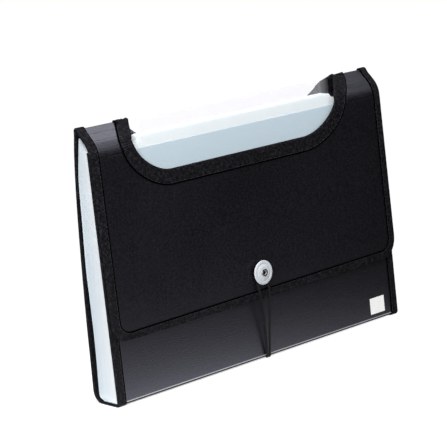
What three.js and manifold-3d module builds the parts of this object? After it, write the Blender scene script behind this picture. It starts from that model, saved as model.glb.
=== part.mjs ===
// A document folder that stands on its base. One plastic cover sheet forms the front, base, back and
// flap, bound with tape along its edges. Pleated sides hold thirteen pockets, whose dividers carry
// clear index strips, and an elastic loop hooks round a button on the flap.
// Millimetres. X runs along the width, Y from the front to the back, and Z up from the table.
// Places are given from the front fold, and the whole folder is centred over its origin at the end.

import * as THREE from 'three';
import { mergeVertices } from 'three/addons/utils/BufferGeometryUtils.js';
import Module from 'manifold-3d';

const wasm = await Module();
wasm.setup();

// Cover sheet
const coverGauge = 0.7;
const coverMargin = 0.65; // from the pleats out to the sheet's side edge
const crestHeight = 222.8; // the fold at the top, above the table
const crestSetback = 20.5; // the fold at the top, behind the front face
const backSetback = 30.2; // the upright part of the back, behind the front face
const backBowLength = 162; // how far below the crest the back starts to bow forward
const backBowDrop = 32; // how far below the crest the bow is steered
const backBowSetback = 28.6; // and how far back that is
const rearCornerRadius = 9;
const rearSeamHeight = 2.4; // where the base sheet ends, above the rear corner
const frontFoldRadius = 2.05;
const frontFaceSetback = 0.6;
const frontLean = 1.95; // degrees
const frontDrop = 17.6; // from the crest down to the top of the front
const foldRelief = 0.3; // a thinned fold line between two panels

// Shoulders and flap
const shoulderReach = 15.3; // from the crest forward to the knee
const shoulderDrop = 15; // from the crest down to the knee
const crestRelief = 0.75;
const kneeRelief = 0.4;
const hemHeight = 52.8; // middle of the flap's lower edge, above the table
const hemRise = 3.8; // how much higher it ends at the right than at the left
const flapLean = 2.65; // degrees, its hem forward
const hemCornerRadius = 11;

// Windows
const windowCrestLeft = 112; // the window's edge at the crest, from the middle of the folder
const windowCrestRight = 124;
const windowKneeLeft = 121;
const windowKneeRight = 110;
const windowDepth = 29.5; // below the knee
const windowCornerLeft = 37; // how far the rounded corners reach along the window's lower edge
const windowCornerRight = 44;
const windowFullness = 0.45; // of the rounded corners
const backWindowHalf = 65; // half the width of its lower edge
const backWindowDepth = 31; // below the crest
const backWindowCorner = 9;
const backWindowFlareDrop = 4; // below the crest, where its slanted sides turn out to the crest's edge
const backWindowClearance = 1.5; // there, from the index strips' ends
const frontWindowHalf = 126;
const frontWindowDepth = 40; // below the top of the front
const frontWindowCorner = 24;

// Binding tape
const tapeGauge = 0.5;
const tapeGap = 0.25; // left for the adhesive
const edgeTapeWidth = 8;
const windowTapeWidth = 12.5;
const crestTapeRelief = 2.2; // how far the tape stops short of the crest
const kneeTapeRelief = 0.9;

// Dividers, index strips and pleated sides
const dividerCount = 12;
const dividerWidth = 318;
const dividerGauge = 0.28;
const dividerDrop = 1; // of their shoulders, below the top of the front
const dividerBottom = 6.5;
const tabDrop = 13.3; // of their raised middle, below the crest
const tabInset = 1; // from a strip's end to the raised middle
const tabSlope = 5; // how far its slanted ends reach
const frontFilmGauge = 0.25;
const frontFilmDrop = 5.5; // below the top of the front
const stripClearance = 2.5; // from a strip's end to the window's edge at the knee
const stripGauge = 0.18;
const stripDrop = 0.5; // below the crest
const stripHeight = 24;
const stripGap = 0.1; // between a strip and its divider
const stackClearance = 0.3; // from the stack of dividers to the cover
const pleatGauge = 0.3;
const pleatDepth = 4.3;
const pleatClearance = 0.3; // from the pleats to the dividers' edges
const pleatFoldLength = 1; // how far a fold's two films lie together
const pleatBottom = 2.5;
const pleatFrontDrop = 0.5; // below the top of the front
const pleatBackDrop = 6.5; // below the crest

// Button
const buttonX = -1.3;
const buttonRise = 22.5; // above the middle of the flap's lower edge
const buttonRadius = 10.3;
const buttonRimThickness = 1.3;
const buttonDome = 0.9;
const hubRadius = 4.6;
const hubLength = 2.6;
const rivetRadius = 2;
const rivetBore = 1.3;
const rivetHeadRadius = 3.3;
const rivetHeadThickness = 0.5;
const rivetFit = 0.25;
const seatGap = 0.2; // between pieces that are clamped together
const washerRadius = 6;
const washerThickness = 0.6;

// Elastic loop
const cordDiameter = 2;
const cordSides = 8;
const cordSteps = 76;
const holeAngle = 35; // degrees below level, on the front fold
const holeWidth = 5.4;
const holeHeight = 2.7;
const holeX = 0.4;
const clipRadius = 1.3;
const clipLength = 7;
const clipSetback = 5;
const clipHeight = 4.4;

// Blank label
const labelWidth = 18;
const labelHeight = 14.5;
const labelGauge = 0.15;
const labelGap = 0.1;
const labelInset = 16; // from the sheet's side edge
const labelBottom = 6.7;

const coverWidth = dividerWidth + 2 * (pleatClearance + pleatDepth + coverMargin);
const halfCover = coverWidth / 2;
const halfGauge = coverGauge / 2;
const tapeReach = tapeGap + tapeGauge; // how far the tape stands out from the sheet
const wellBehind = backSetback + 2 * coverGauge; // for cutters that pass through everything
const wellAbove = crestHeight + 5;
const baseHeight = tapeReach + halfGauge; // middle of the base sheet
const frontHeight = crestHeight - frontDrop;
const dividerTop = frontHeight - dividerDrop;
const stripTop = crestHeight - stripDrop;
const stripHalf = windowKneeRight - stripClearance;
const leanOut = THREE.MathUtils.degToRad(frontLean);
const flapAngle = THREE.MathUtils.degToRad(flapLean);

// Materials
function finish(color, roughness, metalness = 0, extra = {}) {
  return new THREE.MeshStandardMaterial({ color, roughness, metalness, ...extra });
}
const coverPlastic = finish(0x17171a, 0.45);
const wovenTape = finish(0x1b1b1f, 0.8);
const frostedFilm = finish(0xbccbd4, 0.4);
const paleFilm = finish(0xe2edf0, 0.4);
const clearFilm = finish(0xe9f1f5, 0.12, 0, { transparent: true, opacity: 0.45 });
const pleatFilm = finish(0xeef5f9, 0.35);
const buttonPlastic = finish(0xe9ecee, 0.35);
const rivetMetal = finish(0x9c9fa3, 0.3, 0.9);
const elasticCord = finish(0x121214, 0.75);
const labelPaper = finish(0xf2f1ee, 0.6);

// Solids
function toManifold(geometry) {
  const bare = geometry.clone();
  bare.deleteAttribute('normal');
  bare.deleteAttribute('uv');
  const merged = mergeVertices(bare, 1e-5);
  return new wasm.Manifold(new wasm.Mesh({
    numProp: 3,
    vertProperties: new Float32Array(merged.attributes.position.array),
    triVerts: new Uint32Array(merged.index.array),
  }));
}

function toGeometry(manifold) {
  const mesh = manifold.getMesh();
  const geometry = new THREE.BufferGeometry();
  geometry.setAttribute('position', new THREE.BufferAttribute(new Float32Array(mesh.vertProperties), 3));
  geometry.setIndex(new THREE.BufferAttribute(new Uint32Array(mesh.triVerts), 1));
  const faceted = geometry.toNonIndexed();
  faceted.computeVertexNormals();
  return faceted;
}

function subtract(geometry, ...cutters) {
  let solid = toManifold(geometry);
  for (const cutter of cutters) solid = solid.subtract(toManifold(cutter));
  return toGeometry(solid);
}

// Keeps what lies between two heights
function between(geometry, bottom, top) {
  const slab = new THREE.BoxGeometry(2 * coverWidth, 2 * wellBehind, top - bottom);
  slab.translate(0, 0, (top + bottom) / 2);
  return toGeometry(toManifold(geometry).intersect(toManifold(slab)));
}

// Paths are lists of points in a plane. A positive offset lies to the left of the way they run.
function arcPoints(centre, radius, from, to, steps) {
  const points = [];
  for (let i = 0; i <= steps; i += 1) {
    const angle = THREE.MathUtils.lerp(from, to, i / steps);
    points.push(new THREE.Vector2(centre.x + radius * Math.cos(angle), centre.y + radius * Math.sin(angle)));
  }
  return points;
}

function offsetPath(points, distance) {
  return points.map((point, i) => {
    const before = i > 0 ? points[i].clone().sub(points[i - 1]).normalize() : null;
    const after = i < points.length - 1 ? points[i + 1].clone().sub(points[i]).normalize() : null;
    const first = before ?? after;
    const second = after ?? before;
    const normal = new THREE.Vector2(-first.y - second.y, first.x + second.x).normalize();
    const stretch = 1 / Math.max(0.3, normal.x * -second.y + normal.y * second.x);
    return point.clone().addScaledVector(normal, distance * stretch);
  });
}

function extendPath(points, length) {
  const first = points[0].clone().sub(points[1]).setLength(length).add(points[0]);
  const last = points.at(-1).clone().sub(points.at(-2)).setLength(length).add(points.at(-1));
  return [first, ...points, last];
}

function strip(points, right, left) {
  return new THREE.Shape([...offsetPath(points, right), ...offsetPath(points, left).reverse()]);
}

// A shape drawn in depth and height, run across the width from x0 to x1
function acrossWidth(shape, x0, x1) {
  const geometry = new THREE.ExtrudeGeometry(shape, { depth: x1 - x0, bevelEnabled: false });
  const turn = new THREE.Matrix4().makeBasis(
    new THREE.Vector3(0, 1, 0),
    new THREE.Vector3(0, 0, 1),
    new THREE.Vector3(1, 0, 0),
  );
  geometry.applyMatrix4(turn);
  return geometry.translate(x0, 0, 0);
}

// A shape drawn in width and height, run from front to back between two depths
function frontToBack(shape, y0, y1) {
  const geometry = new THREE.ExtrudeGeometry(shape, { depth: y1 - y0, bevelEnabled: false, curveSegments: 10 });
  return geometry.rotateX(Math.PI / 2).translate(0, y1, 0);
}

function uprightSheet(shape, thickness) {
  return frontToBack(shape, -thickness / 2, thickness / 2);
}

// Tape folded over the edge of a flat upright sheet, which lies to the right of the path
function tapeOnSheet(points, width) {
  const whole = uprightSheet(strip(points, -width, tapeReach), coverGauge + 2 * tapeReach);
  const slot = uprightSheet(strip(extendPath(points, 2), -width - 1, tapeGap), coverGauge + 2 * tapeGap);
  return subtract(whole, slot);
}

// Tape folded over the side edge of a bent panel, whose path is drawn in depth and height
function tapeOnSide(path, side) {
  const inner = halfCover - edgeTapeWidth;
  const whole = strip(path, -halfGauge - tapeReach, halfGauge + tapeReach);
  const slot = strip(extendPath(path, 2), -halfGauge - tapeGap, halfGauge + tapeGap);
  const ends = (a, b) => (side > 0 ? [a, b] : [-b, -a]);
  return subtract(
    acrossWidth(whole, ...ends(inner, halfCover + tapeReach)),
    acrossWidth(slot, ...ends(inner - 1, halfCover + tapeGap)),
  );
}

const folder = new THREE.Group();

function add(name, geometry, material, parent = folder) {
  const mesh = new THREE.Mesh(geometry, material);
  mesh.name = name;
  parent.add(mesh);
  return mesh;
}

// Side view of the cover, in depth and height
const foldCentre = new THREE.Vector2(frontFaceSetback + halfGauge + frontFoldRadius, baseHeight + frontFoldRadius);
const frontStart = foldCentre.clone().add(
  new THREE.Vector2(-Math.cos(leanOut), Math.sin(leanOut)).multiplyScalar(frontFoldRadius),
);
function frontMiddle(height) {
  return frontStart.x + (height - frontStart.y) * Math.tan(leanOut);
}
const rearCentre = new THREE.Vector2(backSetback - rearCornerRadius, baseHeight + rearCornerRadius);
const crest = new THREE.Vector2(crestSetback, crestHeight);
const backBowStart = crestHeight - backBowLength;
const backCurve = new THREE.QuadraticBezierCurve(
  new THREE.Vector2(backSetback, backBowStart),
  new THREE.Vector2(backBowSetback, crestHeight - backBowDrop),
  crest,
);
function backMiddle(height) {
  if (height <= rearCentre.y) {
    return rearCentre.x + Math.sqrt(Math.max(0, rearCornerRadius ** 2 - (rearCentre.y - height) ** 2));
  }
  if (height <= backBowStart) return backSetback;
  const climb = backBowLength - backBowDrop;
  const bend = backBowDrop - climb;
  const share = (-climb + Math.sqrt(climb ** 2 + bend * (height - backBowStart))) / bend;
  return backCurve.getPoint(Math.min(1, share)).x;
}

// Base and back
const baseFront = foldCentre.x + foldRelief;
const basePath = [
  new THREE.Vector2(baseFront, baseHeight),
  ...arcPoints(rearCentre, rearCornerRadius, -Math.PI / 2, 0, 8),
  new THREE.Vector2(backSetback, rearCentre.y + rearSeamHeight),
];
const backEnd = backCurve.getPoints(9);
const backTopDirection = backEnd.at(-2).clone().sub(crest).normalize();
function backPathTo(relief, start) {
  return [start, ...backEnd.slice(0, -1), crest.clone().addScaledVector(backTopDirection, relief)];
}
const backPath = backPathTo(crestRelief, new THREE.Vector2(backSetback, rearCentre.y + rearSeamHeight + foldRelief));

// A window seen from the front. Each side is a list of points from its lower corner up, and the lower
// corners are rounded.
function windowCutter(left, right, corner, top) {
  const toward = (from, to) => to.clone().sub(from).setLength(corner).add(from);
  const shape = new THREE.Shape();
  const round = (at, start, end) => {
    shape.lineTo(start.x, start.y);
    shape.quadraticCurveTo(at.x, at.y, end.x, end.y);
  };
  shape.moveTo(left.at(-1).x, top);
  for (const point of left.slice(1).reverse()) shape.lineTo(point.x, point.y);
  round(left[0], toward(left[0], left[1]), toward(left[0], right[0]));
  round(right[0], toward(right[0], left[0]), toward(right[0], right[1]));
  for (const point of right.slice(1)) shape.lineTo(point.x, point.y);
  shape.lineTo(right.at(-1).x, top);
  return shape;
}

function backWindowSide(side, crestEdge) {
  return [
    new THREE.Vector2(side * backWindowHalf, crestHeight - backWindowDepth),
    new THREE.Vector2(side * (stripHalf + backWindowClearance), crestHeight - backWindowFlareDrop),
    new THREE.Vector2(side * crestEdge, crestHeight),
  ];
}

const backWindow = frontToBack(
  windowCutter(
    backWindowSide(-1, windowCrestLeft),
    backWindowSide(1, windowCrestRight),
    backWindowCorner,
    wellAbove,
  ),
  0,
  wellBehind,
);
add('base_panel', acrossWidth(strip(basePath, -halfGauge, halfGauge), -halfCover, halfCover), coverPlastic);
add(
  'back_panel',
  subtract(acrossWidth(strip(backPath, -halfGauge, halfGauge), -halfCover, halfCover), backWindow),
  coverPlastic,
);
const baseTapePath = [
  new THREE.Vector2(baseFront + foldRelief, baseHeight),
  new THREE.Vector2(rearCentre.x, baseHeight),
];
const backTapePath = backPathTo(crestTapeRelief, new THREE.Vector2(backSetback, rearCentre.y + rearSeamHeight));
backTapePath.unshift(...arcPoints(rearCentre, rearCornerRadius, -Math.PI / 2 + 0.04, 0, 8));

// Front
const frontTop = new THREE.Vector2(frontMiddle(frontHeight), frontHeight);
const frontPath = [
  ...arcPoints(foldCentre, frontFoldRadius, Math.PI - leanOut, 1.5 * Math.PI, 7).reverse(),
  frontTop,
].reverse();
const frontWindowSide = (side) => [
  new THREE.Vector2(side * frontWindowHalf, frontHeight - frontWindowDepth),
  new THREE.Vector2(side * frontWindowHalf, frontHeight),
];
const frontWindow = frontToBack(
  windowCutter(frontWindowSide(-1), frontWindowSide(1), frontWindowCorner, wellAbove),
  -wellBehind,
  wellBehind,
);
const holeTilt = THREE.MathUtils.degToRad(holeAngle);
const holeShape = new THREE.Shape().absellipse(0, 0, holeWidth / 2, holeHeight / 2, 0, 2 * Math.PI);
const cordHole = uprightSheet(holeShape, 3 * frontFoldRadius)
  .translate(0, -frontFoldRadius, 0)
  .rotateX(holeTilt)
  .translate(holeX, foldCentre.x, foldCentre.y);
const frontCover = new THREE.Group();
folder.add(frontCover);
add(
  'front_panel',
  subtract(acrossWidth(strip(frontPath, -halfGauge, halfGauge), -halfCover, halfCover), frontWindow, cordHole),
  coverPlastic,
  frontCover,
);
const frontTapePath = [
  frontTop,
  new THREE.Vector2(frontMiddle(frontStart.y + 1), frontStart.y + 1),
];
for (const [side, label] of [[-1, 'left'], [1, 'right']]) {
  add(`base_tape_${label}`, tapeOnSide(baseTapePath, side), wovenTape);
  add(`back_tape_${label}`, tapeOnSide(backTapePath, side), wovenTape);
  add(`front_tape_${label}`, tapeOnSide(frontTapePath, side), wovenTape, frontCover);
}

// Blank label on the front
const label = add(
  'blank_label',
  new THREE.BoxGeometry(labelWidth, labelGauge, labelHeight).translate(0, 0, labelHeight / 2),
  labelPaper,
  frontCover,
);
label.position.set(
  halfCover - labelInset - labelWidth / 2,
  frontMiddle(labelBottom) - halfGauge / Math.cos(leanOut) - labelGap - labelGauge / 2,
  labelBottom,
);
label.rotation.x = -leanOut;

// Stack of flat dividers, spread evenly from the film behind the front to the inside of the back
const pocketCount = dividerCount + 1;
const stackInset = halfGauge + tapeReach + stackClearance;
function stackFront(height) {
  return frontMiddle(height) + stackInset + frontFilmGauge / 2;
}
function backInside(height) {
  if (height >= rearCentre.y) return backMiddle(height) - stackInset;
  const reach = rearCornerRadius - stackInset;
  return rearCentre.x + Math.sqrt(Math.max(0, reach ** 2 - (rearCentre.y - height) ** 2));
}
function stackBack(height) {
  return THREE.MathUtils.mapLinear(
    height,
    dividerBottom,
    dividerTop,
    backInside(dividerBottom),
    backInside(dividerTop),
  );
}
function stackPath(share, bottom, top) {
  return [bottom, top].map((height) => (
    new THREE.Vector2(THREE.MathUtils.lerp(stackFront(height), stackBack(height), share), height)
  ));
}
add(
  'front_film',
  acrossWidth(
    strip(stackPath(0, dividerBottom, frontHeight - frontFilmDrop), -frontFilmGauge / 2, frontFilmGauge / 2),
    -dividerWidth / 2,
    dividerWidth / 2,
  ),
  frostedFilm,
  frontCover,
);

// What is cut from a divider beside its raised middle, which narrows upward between slanted ends
const tabHalf = stripHalf - tabInset;
const tabTop = crestHeight - tabDrop;
function besideTab(side) {
  const shape = new THREE.Shape([
    new THREE.Vector2(side * (tabHalf + tabSlope), dividerTop),
    new THREE.Vector2(side * tabHalf, tabTop + tabInset),
    new THREE.Vector2(side * halfCover, tabTop + tabInset),
    new THREE.Vector2(side * halfCover, dividerTop),
  ]);
  return frontToBack(shape, 0, wellBehind);
}
for (let i = 1; i <= dividerCount; i += 1) {
  const share = i / pocketCount;
  const number = String(i).padStart(2, '0');
  const stripFace = dividerGauge / 2 + stripGap;
  add(
    `divider_${number}`,
    subtract(
      acrossWidth(
        strip(stackPath(share, dividerBottom, tabTop), -dividerGauge / 2, dividerGauge / 2),
        -dividerWidth / 2,
        dividerWidth / 2,
      ),
      besideTab(-1),
      besideTab(1),
    ),
    paleFilm,
  );
  add(
    `index_strip_${number}`,
    acrossWidth(
      strip(stackPath(share, stripTop - stripHeight, stripTop), stripFace, stripFace + stripGauge),
      -stripHalf,
      stripHalf,
    ),
    clearFilm,
  );
}

// Pleated side: one film that runs out and in again between every two neighbours of the stack,
// drawn as an outline at several heights whose points are joined up the side
function pleatOutline(height, side) {
  const inner = dividerWidth / 2 + pleatClearance;
  const outer = inner + pleatDepth;
  const stackEnd = Math.min(stackBack(height), backInside(height));
  const place = (k) => {
    const flat = THREE.MathUtils.lerp(stackFront(height), stackEnd, Math.min(k, dividerCount) / pocketCount);
    return THREE.MathUtils.lerp(flat, backInside(height), Math.max(0, k - dividerCount));
  };
  const outside = [];
  const inside = [];
  for (let k = 0; k <= pocketCount; k += 1) {
    const valley = place(k);
    outside.push([inner + pleatFoldLength, valley]);
    inside.push([inner, valley - pleatGauge / 2], [inner, valley + pleatGauge / 2]);
    if (k < pocketCount) {
      const ridge = place(k + 0.5);
      outside.push([outer, ridge - pleatGauge / 2], [outer, ridge + pleatGauge / 2]);
      inside.push([outer - pleatFoldLength, ridge]);
    }
  }
  const outline = [...outside, ...inside.reverse()].map(([x, y]) => [side * x, y]);
  return side < 0 ? outline.reverse() : outline;
}

function pleatedSide(side) {
  const frontTopLevel = frontHeight - pleatFrontDrop;
  const backRise = crestHeight - pleatBackDrop - frontTopLevel;
  const steps = [0, 0.02, 0.04, 0.28, 0.55, 0.75, 0.9, 1];
  const rings = steps.map((step) => {
    const level = THREE.MathUtils.lerp(pleatBottom, frontTopLevel, step);
    return pleatOutline(level, side).map(([x, y]) => {
      const depthShare = (y - stackFront(level)) / (backInside(level) - stackFront(level));
      const slant = step < 1 ? 0 : depthShare * backRise;
      return new THREE.Vector3(x, y - slant * depthShare * 0.35, level + slant);
    });
  });
  const count = rings[0].length;
  const position = rings.flatMap((ring) => ring.flatMap((p) => [p.x, p.y, p.z]));
  const index = [];
  for (let r = 0; r < rings.length - 1; r += 1) {
    for (let i = 0; i < count; i += 1) {
      const a = r * count + i;
      const b = r * count + ((i + 1) % count);
      index.push(a, b, b + count, a, b + count, a + count);
    }
  }
  const flat = rings[0].map((p) => new THREE.Vector2(p.x, p.y));
  const top = (rings.length - 1) * count;
  for (const [a, b, c] of THREE.ShapeUtils.triangulateShape(flat, [])) {
    index.push(a, c, b, top + a, top + b, top + c);
  }
  const geometry = new THREE.BufferGeometry();
  geometry.setAttribute('position', new THREE.Float32BufferAttribute(position, 3));
  geometry.setIndex(index);
  return toGeometry(toManifold(geometry));
}
add('pleats_left', pleatedSide(-1), pleatFilm);
add('pleats_right', pleatedSide(1), pleatFilm);

// Shoulders: two strips of the cover sheet between the crest and the knee
const shoulderLength = Math.hypot(shoulderReach, shoulderDrop);
const shoulder = new THREE.Group();
shoulder.position.set(0, crest.x, crest.y);
shoulder.rotation.x = -Math.atan2(shoulderReach, shoulderDrop);
folder.add(shoulder);
const knee = new THREE.Vector2(crest.x - shoulderReach, crest.y - shoulderDrop);
const shoulderTop = -crestRelief;
const shoulderBottom = -shoulderLength + kneeRelief;
for (const [side, name, crestEdge, kneeEdge] of [
  [-1, 'left', windowCrestLeft, windowKneeLeft],
  [1, 'right', windowCrestRight, windowKneeRight],
]) {
  const inner = (height) => (
    side * THREE.MathUtils.mapLinear(height, 0, -shoulderLength, crestEdge, kneeEdge)
  );
  const outer = side * halfCover;
  const outline = [
    new THREE.Vector2(inner(shoulderTop), shoulderTop),
    new THREE.Vector2(outer, shoulderTop),
    new THREE.Vector2(outer, shoulderBottom),
    new THREE.Vector2(inner(shoulderBottom), shoulderBottom),
  ];
  add(`shoulder_${name}`, uprightSheet(new THREE.Shape(outline), coverGauge), coverPlastic, shoulder);
  const top = -crestTapeRelief;
  const bottom = -shoulderLength + kneeTapeRelief;
  const outerEdge = [new THREE.Vector2(outer, top), new THREE.Vector2(outer, bottom)];
  const innerEdge = [new THREE.Vector2(inner(bottom), bottom), new THREE.Vector2(inner(top), top)];
  if (side < 0) {
    outerEdge.reverse();
    innerEdge.reverse();
  }
  add(`shoulder_tape_${name}`, tapeOnSheet(outerEdge, edgeTapeWidth), wovenTape, shoulder);
  const slantedTape = tapeOnSheet(extendPath(innerEdge, windowTapeWidth), windowTapeWidth);
  add(`window_tape_${name}`, between(slantedTape, bottom, top), wovenTape, shoulder);
}

// Flap: drawn down from the knee
const flap = new THREE.Group();
flap.position.set(0, knee.x, knee.y);
flap.rotation.x = -flapAngle;
folder.add(flap);

function windowEdge(top) {
  const left = new THREE.CubicBezierCurve(
    new THREE.Vector2(-windowKneeLeft, -kneeRelief),
    new THREE.Vector2(-windowKneeLeft, -windowDepth * windowFullness),
    new THREE.Vector2(-windowKneeLeft + windowCornerLeft * (1 - windowFullness), -windowDepth),
    new THREE.Vector2(-windowKneeLeft + windowCornerLeft, -windowDepth),
  );
  const right = new THREE.CubicBezierCurve(
    new THREE.Vector2(windowKneeRight - windowCornerRight, -windowDepth),
    new THREE.Vector2(windowKneeRight - windowCornerRight * (1 - windowFullness), -windowDepth),
    new THREE.Vector2(windowKneeRight, -windowDepth * windowFullness),
    new THREE.Vector2(windowKneeRight, -kneeRelief),
  );
  const points = [...left.getPoints(12), ...right.getPoints(12)];
  points[0].y = top;
  points.at(-1).y = top;
  return points;
}

const belowKnee = (height) => (height - knee.y) / Math.cos(flapAngle);
const hemCorner = (side) => new THREE.Vector2(
  side * (halfCover - hemCornerRadius),
  belowKnee(hemHeight + (side * hemRise) / 2) + hemCornerRadius,
);
const flapOutline = (top) => [
  new THREE.Vector2(halfCover, top),
  ...arcPoints(hemCorner(1), hemCornerRadius, 0, -Math.PI / 2, 8),
  ...arcPoints(hemCorner(-1), hemCornerRadius, -Math.PI / 2, -Math.PI, 8),
  new THREE.Vector2(-halfCover, top),
];
const buttonDrop = -belowKnee(hemHeight + buttonRise);
const flapShape = new THREE.Shape([...flapOutline(-kneeRelief), ...windowEdge(-kneeRelief)]);
const rivetHole = new THREE.Path().absarc(buttonX, -buttonDrop, rivetRadius + rivetFit, 0, 2 * Math.PI);
flapShape.holes.push(rivetHole);
add('flap_panel', uprightSheet(flapShape, coverGauge), coverPlastic, flap);
add('flap_tape', tapeOnSheet(flapOutline(-kneeTapeRelief), edgeTapeWidth), wovenTape, flap);
add('window_tape', tapeOnSheet(windowEdge(-kneeTapeRelief), windowTapeWidth), wovenTape, flap);

// Button and rivet: turned about an axis that points forward out of the flap
const button = new THREE.Group();
button.position.set(buttonX, -halfGauge, -buttonDrop);
flap.add(button);
function turned(points) {
  const profile = [...points, points[0]].map(([radius, forward]) => new THREE.Vector2(radius, forward));
  return new THREE.LatheGeometry(profile, 28).rotateX(Math.PI);
}
const discBack = seatGap + hubLength;
const discFront = discBack + buttonRimThickness + buttonDome;
add(
  'button_disc',
  turned([
    [rivetRadius + rivetFit, seatGap],
    [hubRadius, seatGap],
    [hubRadius, discBack],
    [buttonRadius - 0.5, discBack],
    [buttonRadius, discBack + 0.5],
    [buttonRadius, discBack + buttonRimThickness - 0.4],
    [buttonRadius - 0.8, discBack + buttonRimThickness],
    [rivetHeadRadius + 2, discFront],
    [rivetRadius + rivetFit, discFront],
  ]),
  buttonPlastic,
  button,
);
const rivetFront = discFront + seatGap;
const rivetBack = -coverGauge - seatGap - washerThickness - seatGap;
add(
  'rivet',
  turned([
    [rivetBore, rivetBack - rivetHeadThickness],
    [rivetHeadRadius, rivetBack - rivetHeadThickness],
    [rivetHeadRadius, rivetBack],
    [rivetRadius, rivetBack],
    [rivetRadius, rivetFront],
    [rivetHeadRadius, rivetFront],
    [rivetHeadRadius - 0.3, rivetFront + rivetHeadThickness],
    [rivetBore, rivetFront + rivetHeadThickness],
  ]),
  rivetMetal,
  button,
);
add(
  'rivet_washer',
  turned([
    [rivetRadius + rivetFit, -coverGauge - seatGap - washerThickness],
    [washerRadius, -coverGauge - seatGap - washerThickness],
    [washerRadius, -coverGauge - seatGap],
    [rivetRadius + rivetFit, -coverGauge - seatGap],
  ]),
  rivetMetal,
  button,
);

// Elastic: one cord, from the clip inside the fold, out through the hole, up and round the button's
// hub and back down beside itself
const cordRoute = [
  [-0.7, 3.7, 3.55],
  [-0.7, 2.0, 2.45],
  [-0.8, 0.3, 1.35],
  [-0.9, -0.75, 1.7],
  [-1.0, -1.1, 3.2],
  [-2.4, -2.6, 26],
  [-5.4, -4.25, 51],
  [-6.7, -4.2, 59.3],
  [-7.3, -2.75, 71.3],
  [-6.0, -2.6, 79.1],
  [-1.3, -2.55, 81.3],
  [3.4, -2.6, 79.1],
  [4.7, -2.75, 71.3],
  [4.4, -4.2, 59.3],
  [4.1, -4.25, 51],
  [2.6, -2.6, 26],
  [1.8, -1.1, 3.2],
  [1.7, -0.75, 1.7],
  [1.6, 0.3, 1.35],
  [1.5, 2.0, 2.45],
  [1.5, 3.7, 3.55],
].map(([x, y, z]) => new THREE.Vector3(x, y, z));
const cordCurve = new THREE.CatmullRomCurve3(cordRoute, false, 'centripetal');
const cordSection = new THREE.Shape(
  Array.from({ length: cordSides }, (_, i) => {
    const angle = (2 * Math.PI * (i + 0.5)) / cordSides;
    return new THREE.Vector2(Math.cos(angle), Math.sin(angle)).multiplyScalar(cordDiameter / 2);
  }),
);
add(
  'elastic_loop',
  new THREE.ExtrudeGeometry(cordSection, { steps: cordSteps, bevelEnabled: false, extrudePath: cordCurve }),
  elasticCord,
  frontCover,
);
const clip = add(
  'elastic_clip',
  new THREE.CylinderGeometry(clipRadius, clipRadius, clipLength, 16).rotateZ(Math.PI / 2),
  rivetMetal,
  frontCover,
);
clip.position.set(holeX, clipSetback, clipHeight);

// Centre the folder over its origin
const bounds = new THREE.Box3().setFromObject(folder, true);
folder.position.y = -(bounds.min.y + bounds.max.y) / 2;

export default folder;
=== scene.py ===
"""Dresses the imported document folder: bound cover sheet, pleated sides, films, button and elastic."""

import math

import bmesh
import bpy
import numpy as np
from bpy.props import FloatProperty, FloatVectorProperty, IntProperty, PointerProperty
from mathutils import Matrix, Vector


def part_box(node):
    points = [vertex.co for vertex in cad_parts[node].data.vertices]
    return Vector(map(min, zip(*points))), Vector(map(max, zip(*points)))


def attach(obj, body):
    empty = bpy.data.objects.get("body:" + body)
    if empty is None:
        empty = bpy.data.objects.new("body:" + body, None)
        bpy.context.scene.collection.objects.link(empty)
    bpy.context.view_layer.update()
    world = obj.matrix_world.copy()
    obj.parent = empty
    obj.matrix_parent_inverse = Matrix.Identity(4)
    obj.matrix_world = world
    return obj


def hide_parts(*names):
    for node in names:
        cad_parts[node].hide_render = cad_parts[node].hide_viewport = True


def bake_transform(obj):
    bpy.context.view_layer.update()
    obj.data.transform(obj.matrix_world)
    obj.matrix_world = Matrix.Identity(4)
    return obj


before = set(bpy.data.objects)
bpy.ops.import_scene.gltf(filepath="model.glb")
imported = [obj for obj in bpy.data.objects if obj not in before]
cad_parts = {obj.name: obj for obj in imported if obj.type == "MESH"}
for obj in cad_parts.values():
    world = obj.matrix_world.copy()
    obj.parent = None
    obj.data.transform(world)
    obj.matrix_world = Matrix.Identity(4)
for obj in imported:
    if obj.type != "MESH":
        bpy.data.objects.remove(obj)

bl_info = {
    "name": "Document Folder",
    "version": (1, 0, 0),
    "blender": (4, 5, 0),
    "location": "3D View > Sidebar > Folder",
    "description": "Builds the cover, bindings, pleats, films, button and elastic of a document folder",
    "category": "Add Mesh",
}

MM = 0.001

# Side view of the cover sheet in millimetres: depth behind the front fold, height above the table
HALF_COVER = 164.25
FILM = 0.7
CREST = np.array([20.5, 222.8])
KNEE = np.array([5.2, 207.8])
BACK_SETBACK = 30.2
BOW_START = 60.8
BOW_STEER = np.array([28.6, 190.8])
REAR_RADIUS = 9.0
BASE_HEIGHT = 1.1
BASE_FRONT = 3.3
FLAP_LEAN = math.radians(2.65)
HEM_HEIGHT = 52.8
HEM_RISE = 3.8
FLAP_LENGTH = (KNEE[1] - HEM_HEIGHT) / math.cos(FLAP_LEAN)
HEM_RADIUS = 18.0
KNEE_REACH = 8.0
CREST_REACH = 1.1
SCORES = (7.1, 14.6, 28.5)
SCORE_WIDTH = 0.42
SCORE_OUTSIDE = 0.9
SCORE_INSIDE = 0.5

# Distances along the cover from the crest, in millimetres: where its pieces end, where the window's tape
# starts on the back, how far the rear corner reaches from the cover's first edge, how far apart rows are,
# and how far each side of the crest and the knee lie the ends of a bend there, which nothing uses
CUT_BACK = -6.0
CUT_BAND = 10.5
CUT_FLAP = 38.0
TAIL_S = -7.0
REAR_CORNER = (14.0, 40.0)
FOLD_STEP = 0.8
LOW_BACK_STEP = 3.0
HIGH_BACK_STEP = 2.0
HIGH_FLAP_STEP = 1.0
LOW_FLAP_STEP = 6.0
CREST_SPAN = 0.7
KNEE_MARGIN = 1.0

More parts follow.
